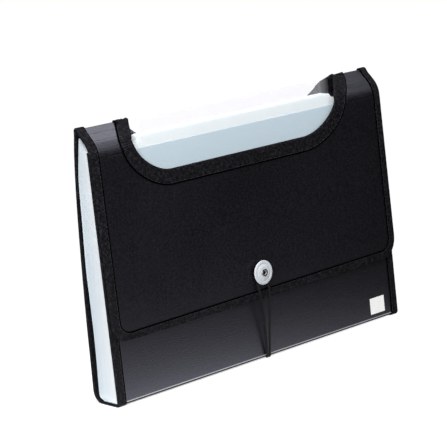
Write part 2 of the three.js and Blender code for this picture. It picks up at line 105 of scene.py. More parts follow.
# Windows in the flap and in the back in millimetres, with left and right where there are two numbers
WINDOW_CREST = (112.0, 124.0)
WINDOW_KNEE = (121.0, 110.0)
WINDOW_DEPTH = 29.5
WINDOW_CORNER = (37.0, 44.0)
WINDOW_FULLNESS = 0.45
BACK_WINDOW_HALF = (75.0, 65.0)
BACK_WINDOW_DROP = 31.0
FLARE_HALF = (115.0, 109.0)
FLARE_DROP = 4.0

# Front: its bottom fold, lean and top, the depth of its outer face at the fold, and the fold's centre with
# the point where the fold meets the straight front
FRONT_FOLD_RADIUS = 2.05
FRONT_LEAN = math.radians(1.95)
FRONT_TOP = 205.2
FRONT_FACE = 0.6
FOLD_CENTRE = np.array([FRONT_FACE + FILM / 2 + FRONT_FOLD_RADIUS, BASE_HEIGHT + FRONT_FOLD_RADIUS])
FRONT_START = FOLD_CENTRE + FRONT_FOLD_RADIUS * np.array([-math.cos(FRONT_LEAN), math.sin(FRONT_LEAN)])

# Binding tape: its gauge, the gap of its adhesive, the height of its outer face, the room that it takes
# in the stack, how it bulges over the crest, the length, share and turn of each wave of its pucker,
# where its lengths start and how far apart their rows are, and the seam and its stitches
TAPE_GAUGE = 0.5
TAPE_GAP = 0.3
TAPE_TOP = TAPE_GAP + FILM / 2 + TAPE_GAUGE * 0.9
TAPE_ROOM = 0.75
CREST_PROUD = 0.75
CREST_BULGE = 3.0
PUCKER_WAVES = ((6.3, 0.6, 1), (17.0, 0.4, 2))
BACK_TAPE_START = 0.4
BACK_TAPE_STEP = 1.6
CREST_TAPE_STEP = 0.6
KNEE_TAPE_STEP = 0.8
FRONT_FOLD_SPAN = 4.2
FRONT_ROWS = (125, 20)
HEM_STEP = 1.3
WINDOW_STEP = 0.7
WINDOW_SMOOTHING = 4
SEAM_INSET = 1.5
SEAM_WIDTH = 0.45
SEAM_DEPTH = 0.12
STITCH_HALF_WIDTH = 0.19
STITCH_HALF_HEIGHT = 0.17
STITCH_SINK = 0.06

# Stack of films in millimetres, and how many index strips count as front ones. A pleat's roundness is a
# power. Three heights give two points at the middle one, square to the lean between the other two, which
# nothing uses. Below the recess's top, the rear pleat loses up to a share of its depth.
DIVIDERS = 12
POCKETS = DIVIDERS + 1
CLEAR_FRONT = 7
STACK_HALF = 159.0
STACK_BOTTOM = 6.5
STACK_TOP = 204.2
STACK_CLEARANCE = 0.3
STACK_INSET = FILM / 2 + TAPE_ROOM + STACK_CLEARANCE
FRONT_FILM_HALF = 0.125
PLEAT_CLEARANCE = 0.3
PLEAT_DEPTH = 4.3
PLEAT_HALF_GAUGE = 0.11
PLEAT_GAP = 0.09
PLEAT_ROUND = 1.25
PLEAT_HEIGHTS = (20.0, 110.0, 200.0)
RECESS_SHARE = 0.85
RECESS_TOP = 105.0
RECESS_SPAN = 75.0
REAR_PLEAT_MIDDLE = 0.6
PLEAT_BOTTOM = 2.5
PLEAT_FRONT_TOP = 204.7
PLEAT_BACK_TOP = 216.3

# Button: its place on the flap, and profiles of its disc and of its rivet as radius and distance forward
BUTTON_X = -1.3
BUTTON_HEIGHT = 75.3
BUTTON_PROFILE = (
    (2.2, 0.2), (4.6, 0.2), (4.6, 2.8), (9.7, 2.8), (10.3, 3.3), (10.3, 3.75), (9.5, 4.15), (8.3, 4.3),
    (7.9, 4.12), (7.2, 4.12), (6.8, 4.35), (5.3, 4.85), (3.9, 4.95), (2.2, 4.95),
)
BUTTON_ROUNDING = 0.25
RIVET_PROFILE = (
    (1.3, -2.3), (3.3, -2.3), (3.3, -1.75), (2.0, -1.7), (2.0, 5.1), (3.25, 5.15), (3.35, 5.4), (2.9, 5.68),
    (1.9, 5.72), (1.35, 5.3),
)
RIVET_ROUNDING = 0.18

# Elastic: points that its loop passes through, as x, depth and height in millimetres, two places along it
# as depth and height, which are worked out into points but not used, and its step in metres
CORD_ROUTE = np.array([
    [-0.7, 3.7, 3.55], [-0.7, 2.0, 2.45], [-0.8, 0.3, 1.35], [-0.9, -0.75, 1.7], [-1.0, -1.1, 3.2],
    [-2.4, -2.6, 26], [-5.4, -4.25, 51], [-6.7, -4.2, 59.3], [-7.3, -2.75, 71.3], [-6.0, -2.6, 79.1],
    [-1.3, -2.55, 81.3],
    [3.4, -2.6, 79.1], [4.7, -2.75, 71.3], [4.4, -4.2, 59.3], [4.1, -4.25, 51], [2.6, -2.6, 26],
    [1.8, -1.1, 3.2], [1.7, -0.75, 1.7], [1.6, 0.3, 1.35], [1.5, 2.0, 2.45], [1.5, 3.7, 3.55],
])
CORD_BEND = ((0.0, 1.5), (-1.9, 14.0))
CORD_STEP = 0.0006

# Studio in metres: half the floor, the shift and the shape of its painted pool of light, and each lamp's
# name, place, aim and size with the setting that gives its power and its share of that
FLOOR_HALF = 6.0
PAINTED_POOL_SHIFT = (0.07, -0.03, 0.0)
PAINTED_POOL_SHAPE = (0.5, 1.0, 1.0)
LAMPS = (
    ("top_lamp", (-0.25, -0.1, 1.25), (0, 0, 0.1), 1.0, "key_power", 1.0),
    ("side_lamp", (-1.15, -0.9, 0.8), (0, 0, 0.1), 0.9, "fill_power", 1.0),
    ("crest_lamp", (0.33, -0.08, 0.85), (0, 0, 0.2), 0.5, "crest_power", 1.0),
    ("knee_lamp", (0.45, -0.52, 0.64), (0, 0, 0.2), 0.5, "crest_power", 0.5),
)

# Height in metres by which the painted highlight along the bottom fold is placed, its stops being shares of
# it
FOLD_HIGHLIGHT_SCALE = 0.01

DEPTH_SHIFT = (BACK_SETBACK + FILM / 2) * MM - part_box("back_panel")[1][1]


def row_points(x, depth, height):
    """Millimetres from the front fold, as arrays of one shape, to points in the row frame in metres."""
    x, depth, height = np.broadcast_arrays(x, depth, height)
    return np.stack([x * MM, depth * MM - DEPTH_SHIFT, height * MM], axis=-1)


def arc(centre, radius, start, end, count):
    """Points on a circle: the centre plus the radius times the cosine and sine of the angle."""
    angle = np.linspace(start, end, count)
    return np.stack([centre[0] + radius * np.cos(angle), centre[1] + radius * np.sin(angle)], axis=-1)


def bezier(a, b, c, count):
    """A quadratic curve from a to c, steered by b."""
    t = np.linspace(0, 1, count)[:, None]
    return (1 - t) ** 2 * np.array(a) + 2 * t * (1 - t) * np.array(b) + t**2 * np.array(c)


class SidePath:
    """A bent sheet's middle line in the side view, looked up by the distance along it.

    point(s, b) is the middle line at distance s plus b times its outward normal. Inside a sharp fold
    the point is pushed back to the plane that halves the fold, so that the two sides never cross.
    """

    def __init__(self, points, zero=None):
        keep = np.r_[True, np.hypot(*np.diff(points, axis=0).T) > 1e-6]
        points = points[keep]
        step = np.diff(points, axis=0)
        length = np.hypot(step[:, 0], step[:, 1])
        self.s = np.r_[0, np.cumsum(length)]
        self.y, self.z = points[:, 0], points[:, 1]
        heading = np.unwrap(np.arctan2(step[:, 1], step[:, 0]))
        middle = (self.s[1:] + self.s[:-1]) / 2
        self.heading_s = np.r_[self.s[0], middle, self.s[-1]]
        self.heading = np.r_[heading[0], heading, heading[-1]]
        self.fold = None
        if zero is not None:
            at = np.argmin(np.hypot(self.y - zero[0], self.z - zero[1]))
            offset = self.s[at]
            self.s = self.s - offset
            self.heading_s = self.heading_s - offset

    def halve(self, at, before, after, span):
        """Sets the plane that halves a fold at a point, between the directions away from it."""
        across = np.array(after) - np.array(before)
        self.fold = (np.array(at), across / np.linalg.norm(across), span)

    def point(self, s, b):
        """Depth and height at distance s, moved out by b."""
        s, b = np.broadcast_arrays(np.asarray(s, float), np.asarray(b, float))
        angle = np.interp(s, self.heading_s, self.heading)
        y = np.interp(s, self.s, self.y) + b * np.sin(angle)
        z = np.interp(s, self.s, self.z) - b * np.cos(angle)
        if self.fold is not None:
            at, across, span = self.fold
            side = (y - at[0]) * across[0] + (z - at[1]) * across[1]
            near = (np.abs(s) < span) & (b < 0)
            wrong = np.where(s > 0, np.minimum(side, 0), np.maximum(side, 0)) * near
            y = y - wrong * across[0]
            z = z - wrong * across[1]
        return y, z


def cover_path():
    """Base, rear corner, bowed back, crest, shoulder, knee and flap, measured from the crest."""
    rear = np.array([BACK_SETBACK - REAR_RADIUS, BASE_HEIGHT + REAR_RADIUS])
    back = bezier([BACK_SETBACK, BOW_START], BOW_STEER, CREST, 120)
    to_back = (back[-2] - CREST) / np.linalg.norm(back[-2] - CREST)
    to_knee = (KNEE - CREST) / np.linalg.norm(KNEE - CREST)
    to_hem = np.array([-math.sin(FLAP_LEAN), -math.cos(FLAP_LEAN)])
    crest = bezier(CREST + CREST_REACH * to_back, CREST, CREST + CREST_REACH * to_knee, 15)
    knee = bezier(KNEE - KNEE_REACH * to_knee, KNEE, KNEE + KNEE_REACH * to_hem, 60)
    reach = np.linalg.norm(back - CREST, axis=1) > CREST_REACH * 1.05
    path = SidePath(np.vstack([
        [[BASE_FRONT, BASE_HEIGHT]],
        arc(rear, REAR_RADIUS, -math.pi / 2, 0, 24),
        back[reach],
        crest,
        knee,
        [KNEE + FLAP_LENGTH * to_hem],
    ]), zero=crest[7])
    path.halve(crest[7], to_back, to_knee, 8.0)
    return path


def front_line(height):
    """Depth of the front cover's middle at a height."""
    return FRONT_START[0] + (height - FRONT_START[1]) * math.tan(FRONT_LEAN)


def front_path():
    """Front cover from its top down to the fold under it."""
    fold = arc(FOLD_CENTRE, FRONT_FOLD_RADIUS, math.pi - FRONT_LEAN, 1.5 * math.pi, 16)
    return SidePath(np.vstack([[[front_line(FRONT_TOP), FRONT_TOP]], fold]))


COVER = cover_path()
FRONT = front_path()
KNEE_S = float(COVER.s[-1]) - FLAP_LENGTH
HEM_S = float(COVER.s[-1])


def back_distance(height):
    """Distance along the cover of a height on the upper back."""
    keep = (COVER.s <= 0) & (COVER.z > BOW_START)
    return float(np.interp(height, COVER.z[keep], COVER.s[keep]))


BACK_WINDOW_S = back_distance(CREST[1] - BACK_WINDOW_DROP)
FLARE_S = back_distance(CREST[1] - FLARE_DROP)


def stack_front(height):
    """Middle of the film behind the front cover, at a height."""
    return front_line(height) + STACK_INSET + FRONT_FILM_HALF


def back_inside(height):
    """Inside of the back at a height: the bowed curve, or the rear corner below it."""
    height = np.asarray(height, float)
    keep = (COVER.s <= 0) & (COVER.z > BASE_HEIGHT + REAR_RADIUS - 0.01)
    upper = np.interp(height, COVER.z[keep], COVER.y[keep]) - STACK_INSET
    centre = (BACK_SETBACK - REAR_RADIUS, BASE_HEIGHT + REAR_RADIUS)
    reach = REAR_RADIUS - STACK_INSET
    lower = centre[0] + np.sqrt(np.maximum(0, reach**2 - np.minimum(0, height - centre[1]) ** 2))
    return np.where(height < centre[1], lower, upper)


def stack_back(height):
    """The stack's rear end: a flat plane between the inside of the back low down and high up."""
    low, high = back_inside(STACK_BOTTOM), back_inside(STACK_TOP)
    return low + (np.asarray(height, float) - STACK_BOTTOM) / (STACK_TOP - STACK_BOTTOM) * (high - low)


# Mesh building


def link(name, mesh):
    """An object for a mesh, in the scene."""
    obj = bpy.data.objects.new(name, mesh)
    bpy.context.scene.collection.objects.link(obj)
    return obj


def build_mesh(name, vertices, faces, material, uv=None, smooth_angle=40.0, slots=None):
    """A mesh object from arrays: vertices in metres, four-cornered or mixed faces, UV per vertex."""
    mesh = bpy.data.meshes.new(name)
    vertices = np.reshape(vertices, (-1, 3)).tolist()
    mesh.from_pydata(vertices, [], [list(map(int, face)) for face in faces])
    mesh.validate()
    if uv is not None:
        layer = mesh.uv_layers.new(name="UVMap")
        corner = np.empty(len(mesh.loops), dtype=np.int32)
        mesh.loops.foreach_get("vertex_index", corner)
        layer.data.foreach_set("uv", np.reshape(uv, (-1, 2)).astype(np.float32)[corner].ravel())
    mesh.polygons.foreach_set("use_smooth", np.ones(len(mesh.polygons), dtype=bool))
    for entry in material if isinstance(material, (list, tuple)) else [material]:
        mesh.materials.append(entry)
    if slots is not None and len(slots) == len(mesh.polygons):
        mesh.polygons.foreach_set("material_index", np.asarray(slots, np.int32))
    mesh.update()
    mesh.set_sharp_from_angle(angle=math.radians(smooth_angle))
    return link(name, mesh)


def grid_faces(rows, columns, closed=False, first=0):
    """Four-cornered faces of a grid of rows by columns, its columns joined in a ring when closed."""
    r = np.arange(rows - 1)[:, None]
    c = np.arange(columns if closed else columns - 1)[None, :]
    n = (c + 1) % columns
    a = r * columns + c
    b = r * columns + n
    quads = np.stack([a, b, b + columns, a + columns], axis=-1).reshape(-1, 4)
    return quads + first


def swept_ring(points, first=0):
    """Faces of closed rings joined along their length, with a flat cap at each end."""
    rows, columns = points.shape[:2]
    sides = [list(q) for q in grid_faces(rows, columns, closed=True, first=first)]
    start = list(range(first + columns - 1, first - 1, -1))
    end = list(range(first + (rows - 1) * columns, first + rows * columns))
    return sides + [start, end]


def outward(obj):
    """Turns a closed piece's faces outward."""
    shape = bmesh.new()
    shape.from_mesh(obj.data)
    bmesh.ops.recalc_face_normals(shape, faces=shape.faces)
    shape.to_mesh(obj.data)
    shape.free()
    return obj


def thicken(patches, thickness_of):
    """Joins grids of (x, s) into one sheet and gives it two faces and a rim.

    Corners that two grids share are merged. The front face lies half the thickness outside the
    sheet's middle and the back face half inside; the rim joins them round every open edge.
    """
    flat, faces, first = [], [], 0
    for patch in patches:
        rows, columns = patch.shape[:2]
        flat.append(patch.reshape(-1, 2))
        faces.append(grid_faces(rows, columns, first=first))
        first += rows * columns
    flat, faces = np.vstack(flat), np.vstack(faces)
    key = np.round(flat * 1000).astype(np.int64)
    _, index, inverse = np.unique(key, axis=0, return_index=True, return_inverse=True)
    flat, faces = flat[index], inverse.reshape(-1)[faces]
    ends = np.stack([faces, np.roll(faces, -1, axis=1)], axis=-1).reshape(-1, 2)
    ordered = np.sort(ends, axis=1)
    _, where, counts = np.unique(ordered, axis=0, return_index=True, return_counts=True)
    rim = ends[where[counts == 1]]
    count = len(flat)
    front = thickness_of(flat, +0.5)
    back = thickness_of(flat, -0.5)
    quads = np.vstack([
        faces,
        faces[:, ::-1] + count,
        np.stack([rim[:, 1], rim[:, 0], rim[:, 0] + count, rim[:, 1] + count], axis=-1),
    ])
    uv = np.vstack([flat, flat]) * MM
    return np.vstack([front, back]), quads, uv


# Materials


class Nodes:
    """Short calls that add nodes to a new material, or to a world, and join them."""

    def __init__(self, name, world=None):
        self.owner = world or bpy.data.materials.new(name)
        self.owner.use_nodes = True
        self.tree = self.owner.node_tree
        self.shader = self.tree.nodes["Background" if world else "Principled BSDF"]
        self.output = self.tree.nodes["World Output" if world else "Material Output"]

    def plug(self, value, socket):
        """Joins another node's output to a socket, or sets the socket to a constant."""
        if isinstance(value, bpy.types.NodeSocket):
            self.tree.links.new(value, socket)
        else:
            socket.default_value = value

    def add(self, kind, **values):
        """Adds a node. Values in small letters are its own settings, and the others its inputs."""
        node = self.tree.nodes.new(kind)
        for key, value in values.items():
            if key[0].isupper():
                self.plug(value, node.inputs[key.replace("_", " ")])
            else:
                setattr(node, key, value)
        return node

    def set(self, **values):
        """Sets inputs of the shader, by constants or by other nodes' outputs."""
        for key, value in values.items():
            self.plug(value, self.shader.inputs[key.replace("_", " ")])

    def math(self, operation, *values, use_clamp=False):
        node = self.add("ShaderNodeMath", operation=operation, use_clamp=use_clamp)
        for value, socket in zip(values, node.inputs):
            self.plug(value, socket)
        return node.outputs[0]

    def parts(self, vector):
        """The X, Y and Z of a vector."""
        return tuple(self.add("ShaderNodeSeparateXYZ", Vector=vector).outputs)

    def spread(self, value, low, high, to_low=0.0, to_high=1.0):
        """Carries a value from one range to another, held at its ends."""
        return self.add(
            "ShaderNodeMapRange", Value=value, From_Min=low, From_Max=high, To_Min=to_low, To_Max=to_high,
        ).outputs["Result"]

    def ramp(self, source, *stops):
        """A colour, or a grey, for each value of the source, between stops of a place and a colour."""
        node = self.add("ShaderNodeValToRGB", Fac=source)
        elements = node.color_ramp.elements
        while len(elements) < len(stops):
            elements.new(0.5)
        for element, (place, colour) in zip(elements, stops):
            element.position = place
            element.color = (*colour, 1.0) if isinstance(colour, tuple) else (colour, colour, colour, 1.0)
        return node.outputs["Color"]

    def mixed(self, share, one, other, blend_type="MIX"):
        """One colour mixed with another."""
        node = self.add("ShaderNodeMix", data_type="RGBA", blend_type=blend_type)
        for value, socket in ((share, "Factor"), (one, 6), (other, 7)):
            self.plug(value, node.inputs[socket])
        return node.outputs[2]

    def blended(self, share, one, other):
        """One shader blended with another."""
        node = self.add("ShaderNodeMixShader")
        for value, socket in zip((share, one, other), node.inputs):
            self.plug(value, socket)
        return node.outputs[0]

    def bump(self, height, strength, distance, normal=None):
        node = self.add("ShaderNodeBump", Strength=strength, Distance=distance, Height=height)
        if normal is not None:
            self.plug(normal, node.inputs["Normal"])
        return node.outputs["Normal"]

    def noise(self, coordinates, scale, detail=3.0, roughness=0.5):
        return self.add(
            "ShaderNodeTexNoise", Vector=coordinates, Scale=scale, Detail=detail, Roughness=roughness,
        ).outputs["Fac"]

    def coordinates(self, output="Object"):
        return self.add("ShaderNodeTexCoord").outputs[output]

    def surface(self, shader):
        """Uses a shader as the surface, and returns the material."""
        self.plug(shader, self.output.inputs["Surface"])
        return self.owner

    def finish(self, normal=None, colour=None, roughness=None):
        """Joins what is given to the shader, and returns the material."""
        for name, value in (("Normal", normal), ("Base Color", colour), ("Roughness", roughness)):
            if value is not None:
                self.plug(value, self.shader.inputs[name])
        return self.owner


def cover_material(settings):
    """Black sheet with a fine pebbled grain, a soft gloss and faint rubbed patches. Along the fold by
    the table a pale line is painted on as a highlight, at that height all round the sheet, and below it the
    sheet reflects nothing, a painted shade under the fold."""
    m = Nodes("grained_cover_sheet")
    where = m.coordinates()
    height = m.parts(where)[2]
    cells = m.add("ShaderNodeTexVoronoi", feature="SMOOTH_F1", Vector=where, Scale=settings.grain_scale)
    pebbles = m.bump(cells.outputs["Distance"], settings.grain_strength, 0.0003)
    fine = m.bump(m.noise(where, settings.grain_scale * 0.8), 0.3, 0.00025, pebbles)
    rough = m.ramp(m.noise(where, 9.0, 4.0), (0.3, 0.33), (0.7, 0.41))
    tone = m.ramp(m.noise(where, 500.0), (0.36, (0.0004, 0.0004, 0.0005)), (0.64, (0.005, 0.005, 0.0065)))
    # Painted highlight: a pale line added to the colour about 3 mm above the table, along the front's bottom
    # fold
    painted_fold_highlight = m.ramp(
        m.math("DIVIDE", height, FOLD_HIGHLIGHT_SCALE), (0.23, 0.0), (0.3, (0.4, 0.4, 0.44)), (0.37, 0.0))
    # Painted shade: below about 2 mm the sheet reflects nothing, so the fold's underside and the base show
    # dark
    gloss = m.spread(height, 0.0021, 0.003, 0.0, 0.92)
    m.set(Specular_Tint=(0.8, 0.8, 1.0, 1.0), Specular_IOR_Level=gloss)
    return m.finish(fine, m.mixed(1.0, tone, painted_fold_highlight, "ADD"), rough)


def tape_material(settings):
    """Woven tape: ribs across its length and finer yarns along it, from the piece's own UV map. Along
    its inner edge it is dull and dark, a painted shade of the groove there."""
    m = Nodes("woven_binding_tape")
    along, across, _ = m.parts(m.coordinates("UV"))
    ribs = m.math("SINE", m.math("MULTIPLY", along, 2 * math.pi / settings.rib_pitch))
    yarns = m.math("SINE", m.math("MULTIPLY", across, 2 * math.pi / (settings.rib_pitch * 1.3)))
    weave = m.math("MULTIPLY", ribs, yarns)
    height = m.math("ADD", m.math("MULTIPLY", ribs, 0.65), m.math("MULTIPLY", weave, 0.35))
    fluff = m.noise(m.coordinates(), 430.0, 3.0, 0.7)
    normal = m.bump(fluff, 0.35, 0.00008, m.bump(height, 0.9, 0.00022))
    # Painted shade: the tone and the gloss fall to nothing within the first millimetre from the tape's inner
    # edge
    free = m.spread(across, 0.0009, 0.0017)
    shade = m.math("ADD", m.math("MULTIPLY", height, 0.15), m.math("MULTIPLY", fluff, 0.85))
    tone = m.ramp(
        m.math("MULTIPLY", shade, free), (0.38, (0.0004, 0.0004, 0.0005)), (0.66, (0.025, 0.025, 0.034)))
    m.set(Roughness=0.7, Specular_IOR_Level=m.math("MULTIPLY", free, 0.1))
    return m.finish(normal, tone)


def thread_material():
    """Black sewing thread with a twist."""
    m = Nodes("sewing_thread")
    along, around, _ = m.parts(m.coordinates("UV"))
    twist = m.math("SINE", m.math("MULTIPLY", m.math("ADD", along, around), 15000.0))
    tone = m.ramp(twist, (0.0, (0.008, 0.008, 0.009)), (1.0, (0.03, 0.03, 0.033)))
    m.set(Roughness=0.5)
    return m.finish(m.bump(twist, 0.3, 0.00005), tone)


def film_material(name, tint, light, roughness, see_through, painted_back_shade=None):
    """Thin plastic film: a faint mottle in the tint, fine scuffs, and light let through from behind.

    With a painted back shade, the film turns towards that darker colour from the front of the folder to the
    back, as painted shade deeper in the stack."""
    m = Nodes(name)
    where = m.coordinates()
    tone = m.ramp(m.noise(where, 14.0), (0.3, tuple(c * 0.96 for c in tint)), (0.7, tint))
    if painted_back_shade:
        # Painted shade: the tint turns towards the shade colour from the front of the stack to the back
        back = m.spread(m.parts(where)[1], -DEPTH_SHIFT, BACK_SETBACK * MM - DEPTH_SHIFT)
        tone = m.mixed(back, tone, (*painted_back_shade, 1.0))
    scuffs = m.add("ShaderNodeMapping", Vector=where, Scale=(60.0, 60.0, 900.0)).outputs["Vector"]
    m.set(Roughness=roughness, Specular_IOR_Level=0.4)
    m.finish(m.bump(m.noise(scuffs, 1.0, 2.0), 0.12, 0.0002), tone)
    through = m.add("ShaderNodeBsdfTranslucent", Color=(*light, 1.0)).outputs[0]
    return m.surface(m.blended(see_through, m.shader.outputs[0], through))


def clear_material(settings, straight=False):
    """Clear glossy film with a pale tint, hazier along scuffs.

    A renderer lets a ray through few transparent layers and through few refracting ones, so the rear
    strips bend light by nothing at all in place of being transparent: then it passes them all."""
    m = Nodes("clear_rear_index_film" if straight else "clear_index_film")
    haze = m.noise(m.coordinates(), 35.0, 4.0)
    tone = m.ramp(haze, (0.3, (0.93, 0.93, 0.98)), (0.7, (0.97, 0.97, 1.0)))
    m.set(Alpha=1.0 if straight else settings.strip_alpha, Specular_IOR_Level=0.5)
    film = m.finish(None, tone, m.ramp(haze, (0.3, 0.12), (0.7, 0.28)))
    if not straight:
        return film
    shadow = m.add("ShaderNodeLightPath").outputs["Is Shadow Ray"]
    passing = m.add("ShaderNodeBsdfTransparent").outputs[0]
    through = m.add("ShaderNodeBsdfRefraction", IOR=1.0, Roughness=0.0, Color=(0.987, 0.986, 0.993, 1.0))
    way = m.blended(shadow, through.outputs[0], passing)
    return m.surface(m.blended(settings.strip_alpha, way, m.shader.outputs[0]))


def button_material():
    """Smooth pale plastic with a faint mottle and tiny nicks."""
    m = Nodes("button_plastic")
    where = m.coordinates()
    tone = m.ramp(m.noise(where, 160.0), (0.3, (0.47, 0.5, 0.54)), (0.7, (0.56, 0.59, 0.63)))
    m.set(Roughness=0.3, Coat_Weight=0.2, Coat_Roughness=0.15)
    return m.finish(m.bump(m.noise(where, 900.0), 0.15, 0.0001), tone)


def metal_material():
    """Turned steel with dull spots."""
    m = Nodes("rivet_steel")
    spots = m.noise(m.coordinates(), 700.0)
    tone = m.ramp(spots, (0.3, (0.3, 0.3, 0.31)), (0.7, (0.5, 0.5, 0.52)))
    m.set(Metallic=1.0)
    return m.finish(m.bump(spots, 0.2, 0.00005), tone, m.ramp(spots, (0.3, 0.4), (0.7, 0.28)))


def elastic_material(settings):
    """Braided cord: two sets of yarns wind round it in opposite directions, from its own UV map."""
    m = Nodes("braided_elastic")
    u, v, _ = m.parts(m.coordinates("UV"))
    along = m.math("MULTIPLY", u, 2 * math.pi / settings.braid_pitch)
    around = m.math("MULTIPLY", v, 2 * math.pi * 6)
    one = m.math("SINE", m.math("ADD", around, along))
    two = m.math("SINE", m.math("SUBTRACT", around, along))
    yarns = m.math("MAXIMUM", one, two)
    tone = m.ramp(yarns, (0.1, (0.001, 0.001, 0.0012)), (0.95, (0.004, 0.004, 0.005)))
    m.set(Roughness=0.5, Specular_IOR_Level=0.25)
    return m.finish(m.bump(yarns, 0.9, 0.00018), tone)


def paper_material():
    """Blank white paper with faint fibres."""
    m = Nodes("label_paper")
    fibres = m.noise(m.coordinates(), 800.0, 4.0, 0.7)
    m.set(Roughness=0.6)
    tone = m.ramp(fibres, (0.3, (0.84, 0.83, 0.81)), (0.7, (0.93, 0.93, 0.92)))
    return m.finish(m.bump(fibres, 0.15, 0.00003), tone)


MATERIALS = {}


def finish_nodes(material, *names):
    """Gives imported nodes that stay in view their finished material."""
    for name in names:
        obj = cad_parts[name]
        obj.data.materials.clear()
        obj.data.materials.append(material)


# Settings


def number(name, description, default, low=0.0, **more):
    """A number that a user may change, and its lowest value."""
    return FloatProperty(name=name, description=description, default=default, min=low, **more)


def length(name, description, default, low):
    """A length in metres that a user may change."""
    return number(name, description, default, low, unit="LENGTH", precision=5)


def angle(name, description, degrees):
    """An angle that a user may change, given in degrees."""
    return FloatProperty(name=name, description=description, default=math.radians(degrees), subtype="ANGLE")


def tint(name, description, default):
    """A colour that a user may change."""
    return FloatVectorProperty(name=name, description=description, subtype="COLOR", default=default)


class CoverSettings(bpy.types.PropertyGroup):
    """Grain and gauge of the cover sheet."""
    grain_scale: number("Grain scale", "Pebbles of the grain to the metre", 1150.0, 100.0)
    grain_strength: number("Grain strength", "How deep the grain looks", 0.45, max=1.0)
    score_depth: number("Score depth", "Depth of the scored fold lines in millimetres", 0.1)
    rim: number("Sheet gauge", "Thickness of the sheet in millimetres", FILM, 0.1)


class BindingSettings(bpy.types.PropertyGroup):
    """Sizes of the woven tape and its stitching."""
    edge_width: number("Edge tape width", "Width on each face in millimetres", 8.0, 2.0)
    window_width: number("Window tape width", "Width on each face in millimetres", 12.5, 2.0)
    rib_pitch: length("Rib pitch", "Distance between ribs", 0.00105, 0.0001)
    stitch_length: number("Stitch length", "One stitch in millimetres", 2.6, 0.5)
    stitch_gap: number("Stitch gap", "Between stitches in millimetres", 0.7, 0.1)
    pucker: number("Pucker", "Height of the tape's small waves in millimetres", 0.05)


class FilmSettings(bpy.types.PropertyGroup):
    """Tints of the films inside."""
    front_tint: tint("Front film", "Tint of the film behind the front", (0.63, 0.74, 0.81))
    divider_tint: tint("Dividers", "Tint of the dividers", (0.95, 0.97, 0.99))
    pleat_tint: tint("Pleats", "Tint of the pleated sides", (0.88, 0.89, 0.9))
    strip_alpha: number("Strip cover", "How much an index strip hides", 0.018, max=1.0)
    pleat_wave: number("Pleat wave", "How far the pleats' edges wander in millimetres", 0.25)


class ElasticSettings(bpy.types.PropertyGroup):
    """Size of the elastic loop."""
    diameter: length("Diameter", "Thickness of the cord", 0.002, 0.0005)
    braid_pitch: length("Braid pitch", "Length of one turn of a yarn", 0.0042, 0.0005)
    sides: IntProperty(name="Sides", description="Corners of the cord's section", default=16, min=6)


class StudioSettings(bpy.types.PropertyGroup):
    """Camera, floor and lamps."""
    camera_at: FloatVectorProperty(
        name="Camera", description="Place of the camera", subtype="TRANSLATION",
        default=(-1.07496, -1.16024 - DEPTH_SHIFT, 0.44287))
    azimuth: angle("Azimuth", "Turn of the view about the vertical", 41.818)
    elevation: angle("Elevation", "How far the view looks down", 11.565)
    roll: angle("Roll", "Lean of the camera to its right", 4.992)
    lens: number("Lens", "Focal length in millimetres", 155.44, 10.0)
    key_power: number("Top lamp", "Power of the lamp above", 11.0, unit="POWER")
    fill_power: number("Side lamp", "Power of the lamp at the side", 30.0, unit="POWER")
    crest_power: number("Crest lamp", "Power of the lamp that glints on the crest", 2.25, unit="POWER")
    surround: number("Surround", "Strength of the surround as light", 0.2)
    mirror_surround: number("Mirrored surround", "Strength of the surround in reflections", 0.03)
    floor_lift: number("Floor glow", "How far the floor near the folder is lifted to white", 0.3, max=1.0)
    # Painted reflection: glow of the floor that only reflections see
    painted_reflection_glow: number("Mirrored glow", "Glow of the floor near the folder in reflections", 2.1)
    # Painted pool of light: the floor's colour is pale within this radius
    pool: length("Pool", "Radius of the pale part of the floor", 0.24, 0.1)


class FolderSettings(bpy.types.PropertyGroup):
    """Everything a user may change."""
    cover: PointerProperty(type=CoverSettings)
    binding: PointerProperty(type=BindingSettings)
    film: PointerProperty(type=FilmSettings)
    elastic: PointerProperty(type=ElasticSettings)
    studio: PointerProperty(type=StudioSettings)


# Studio


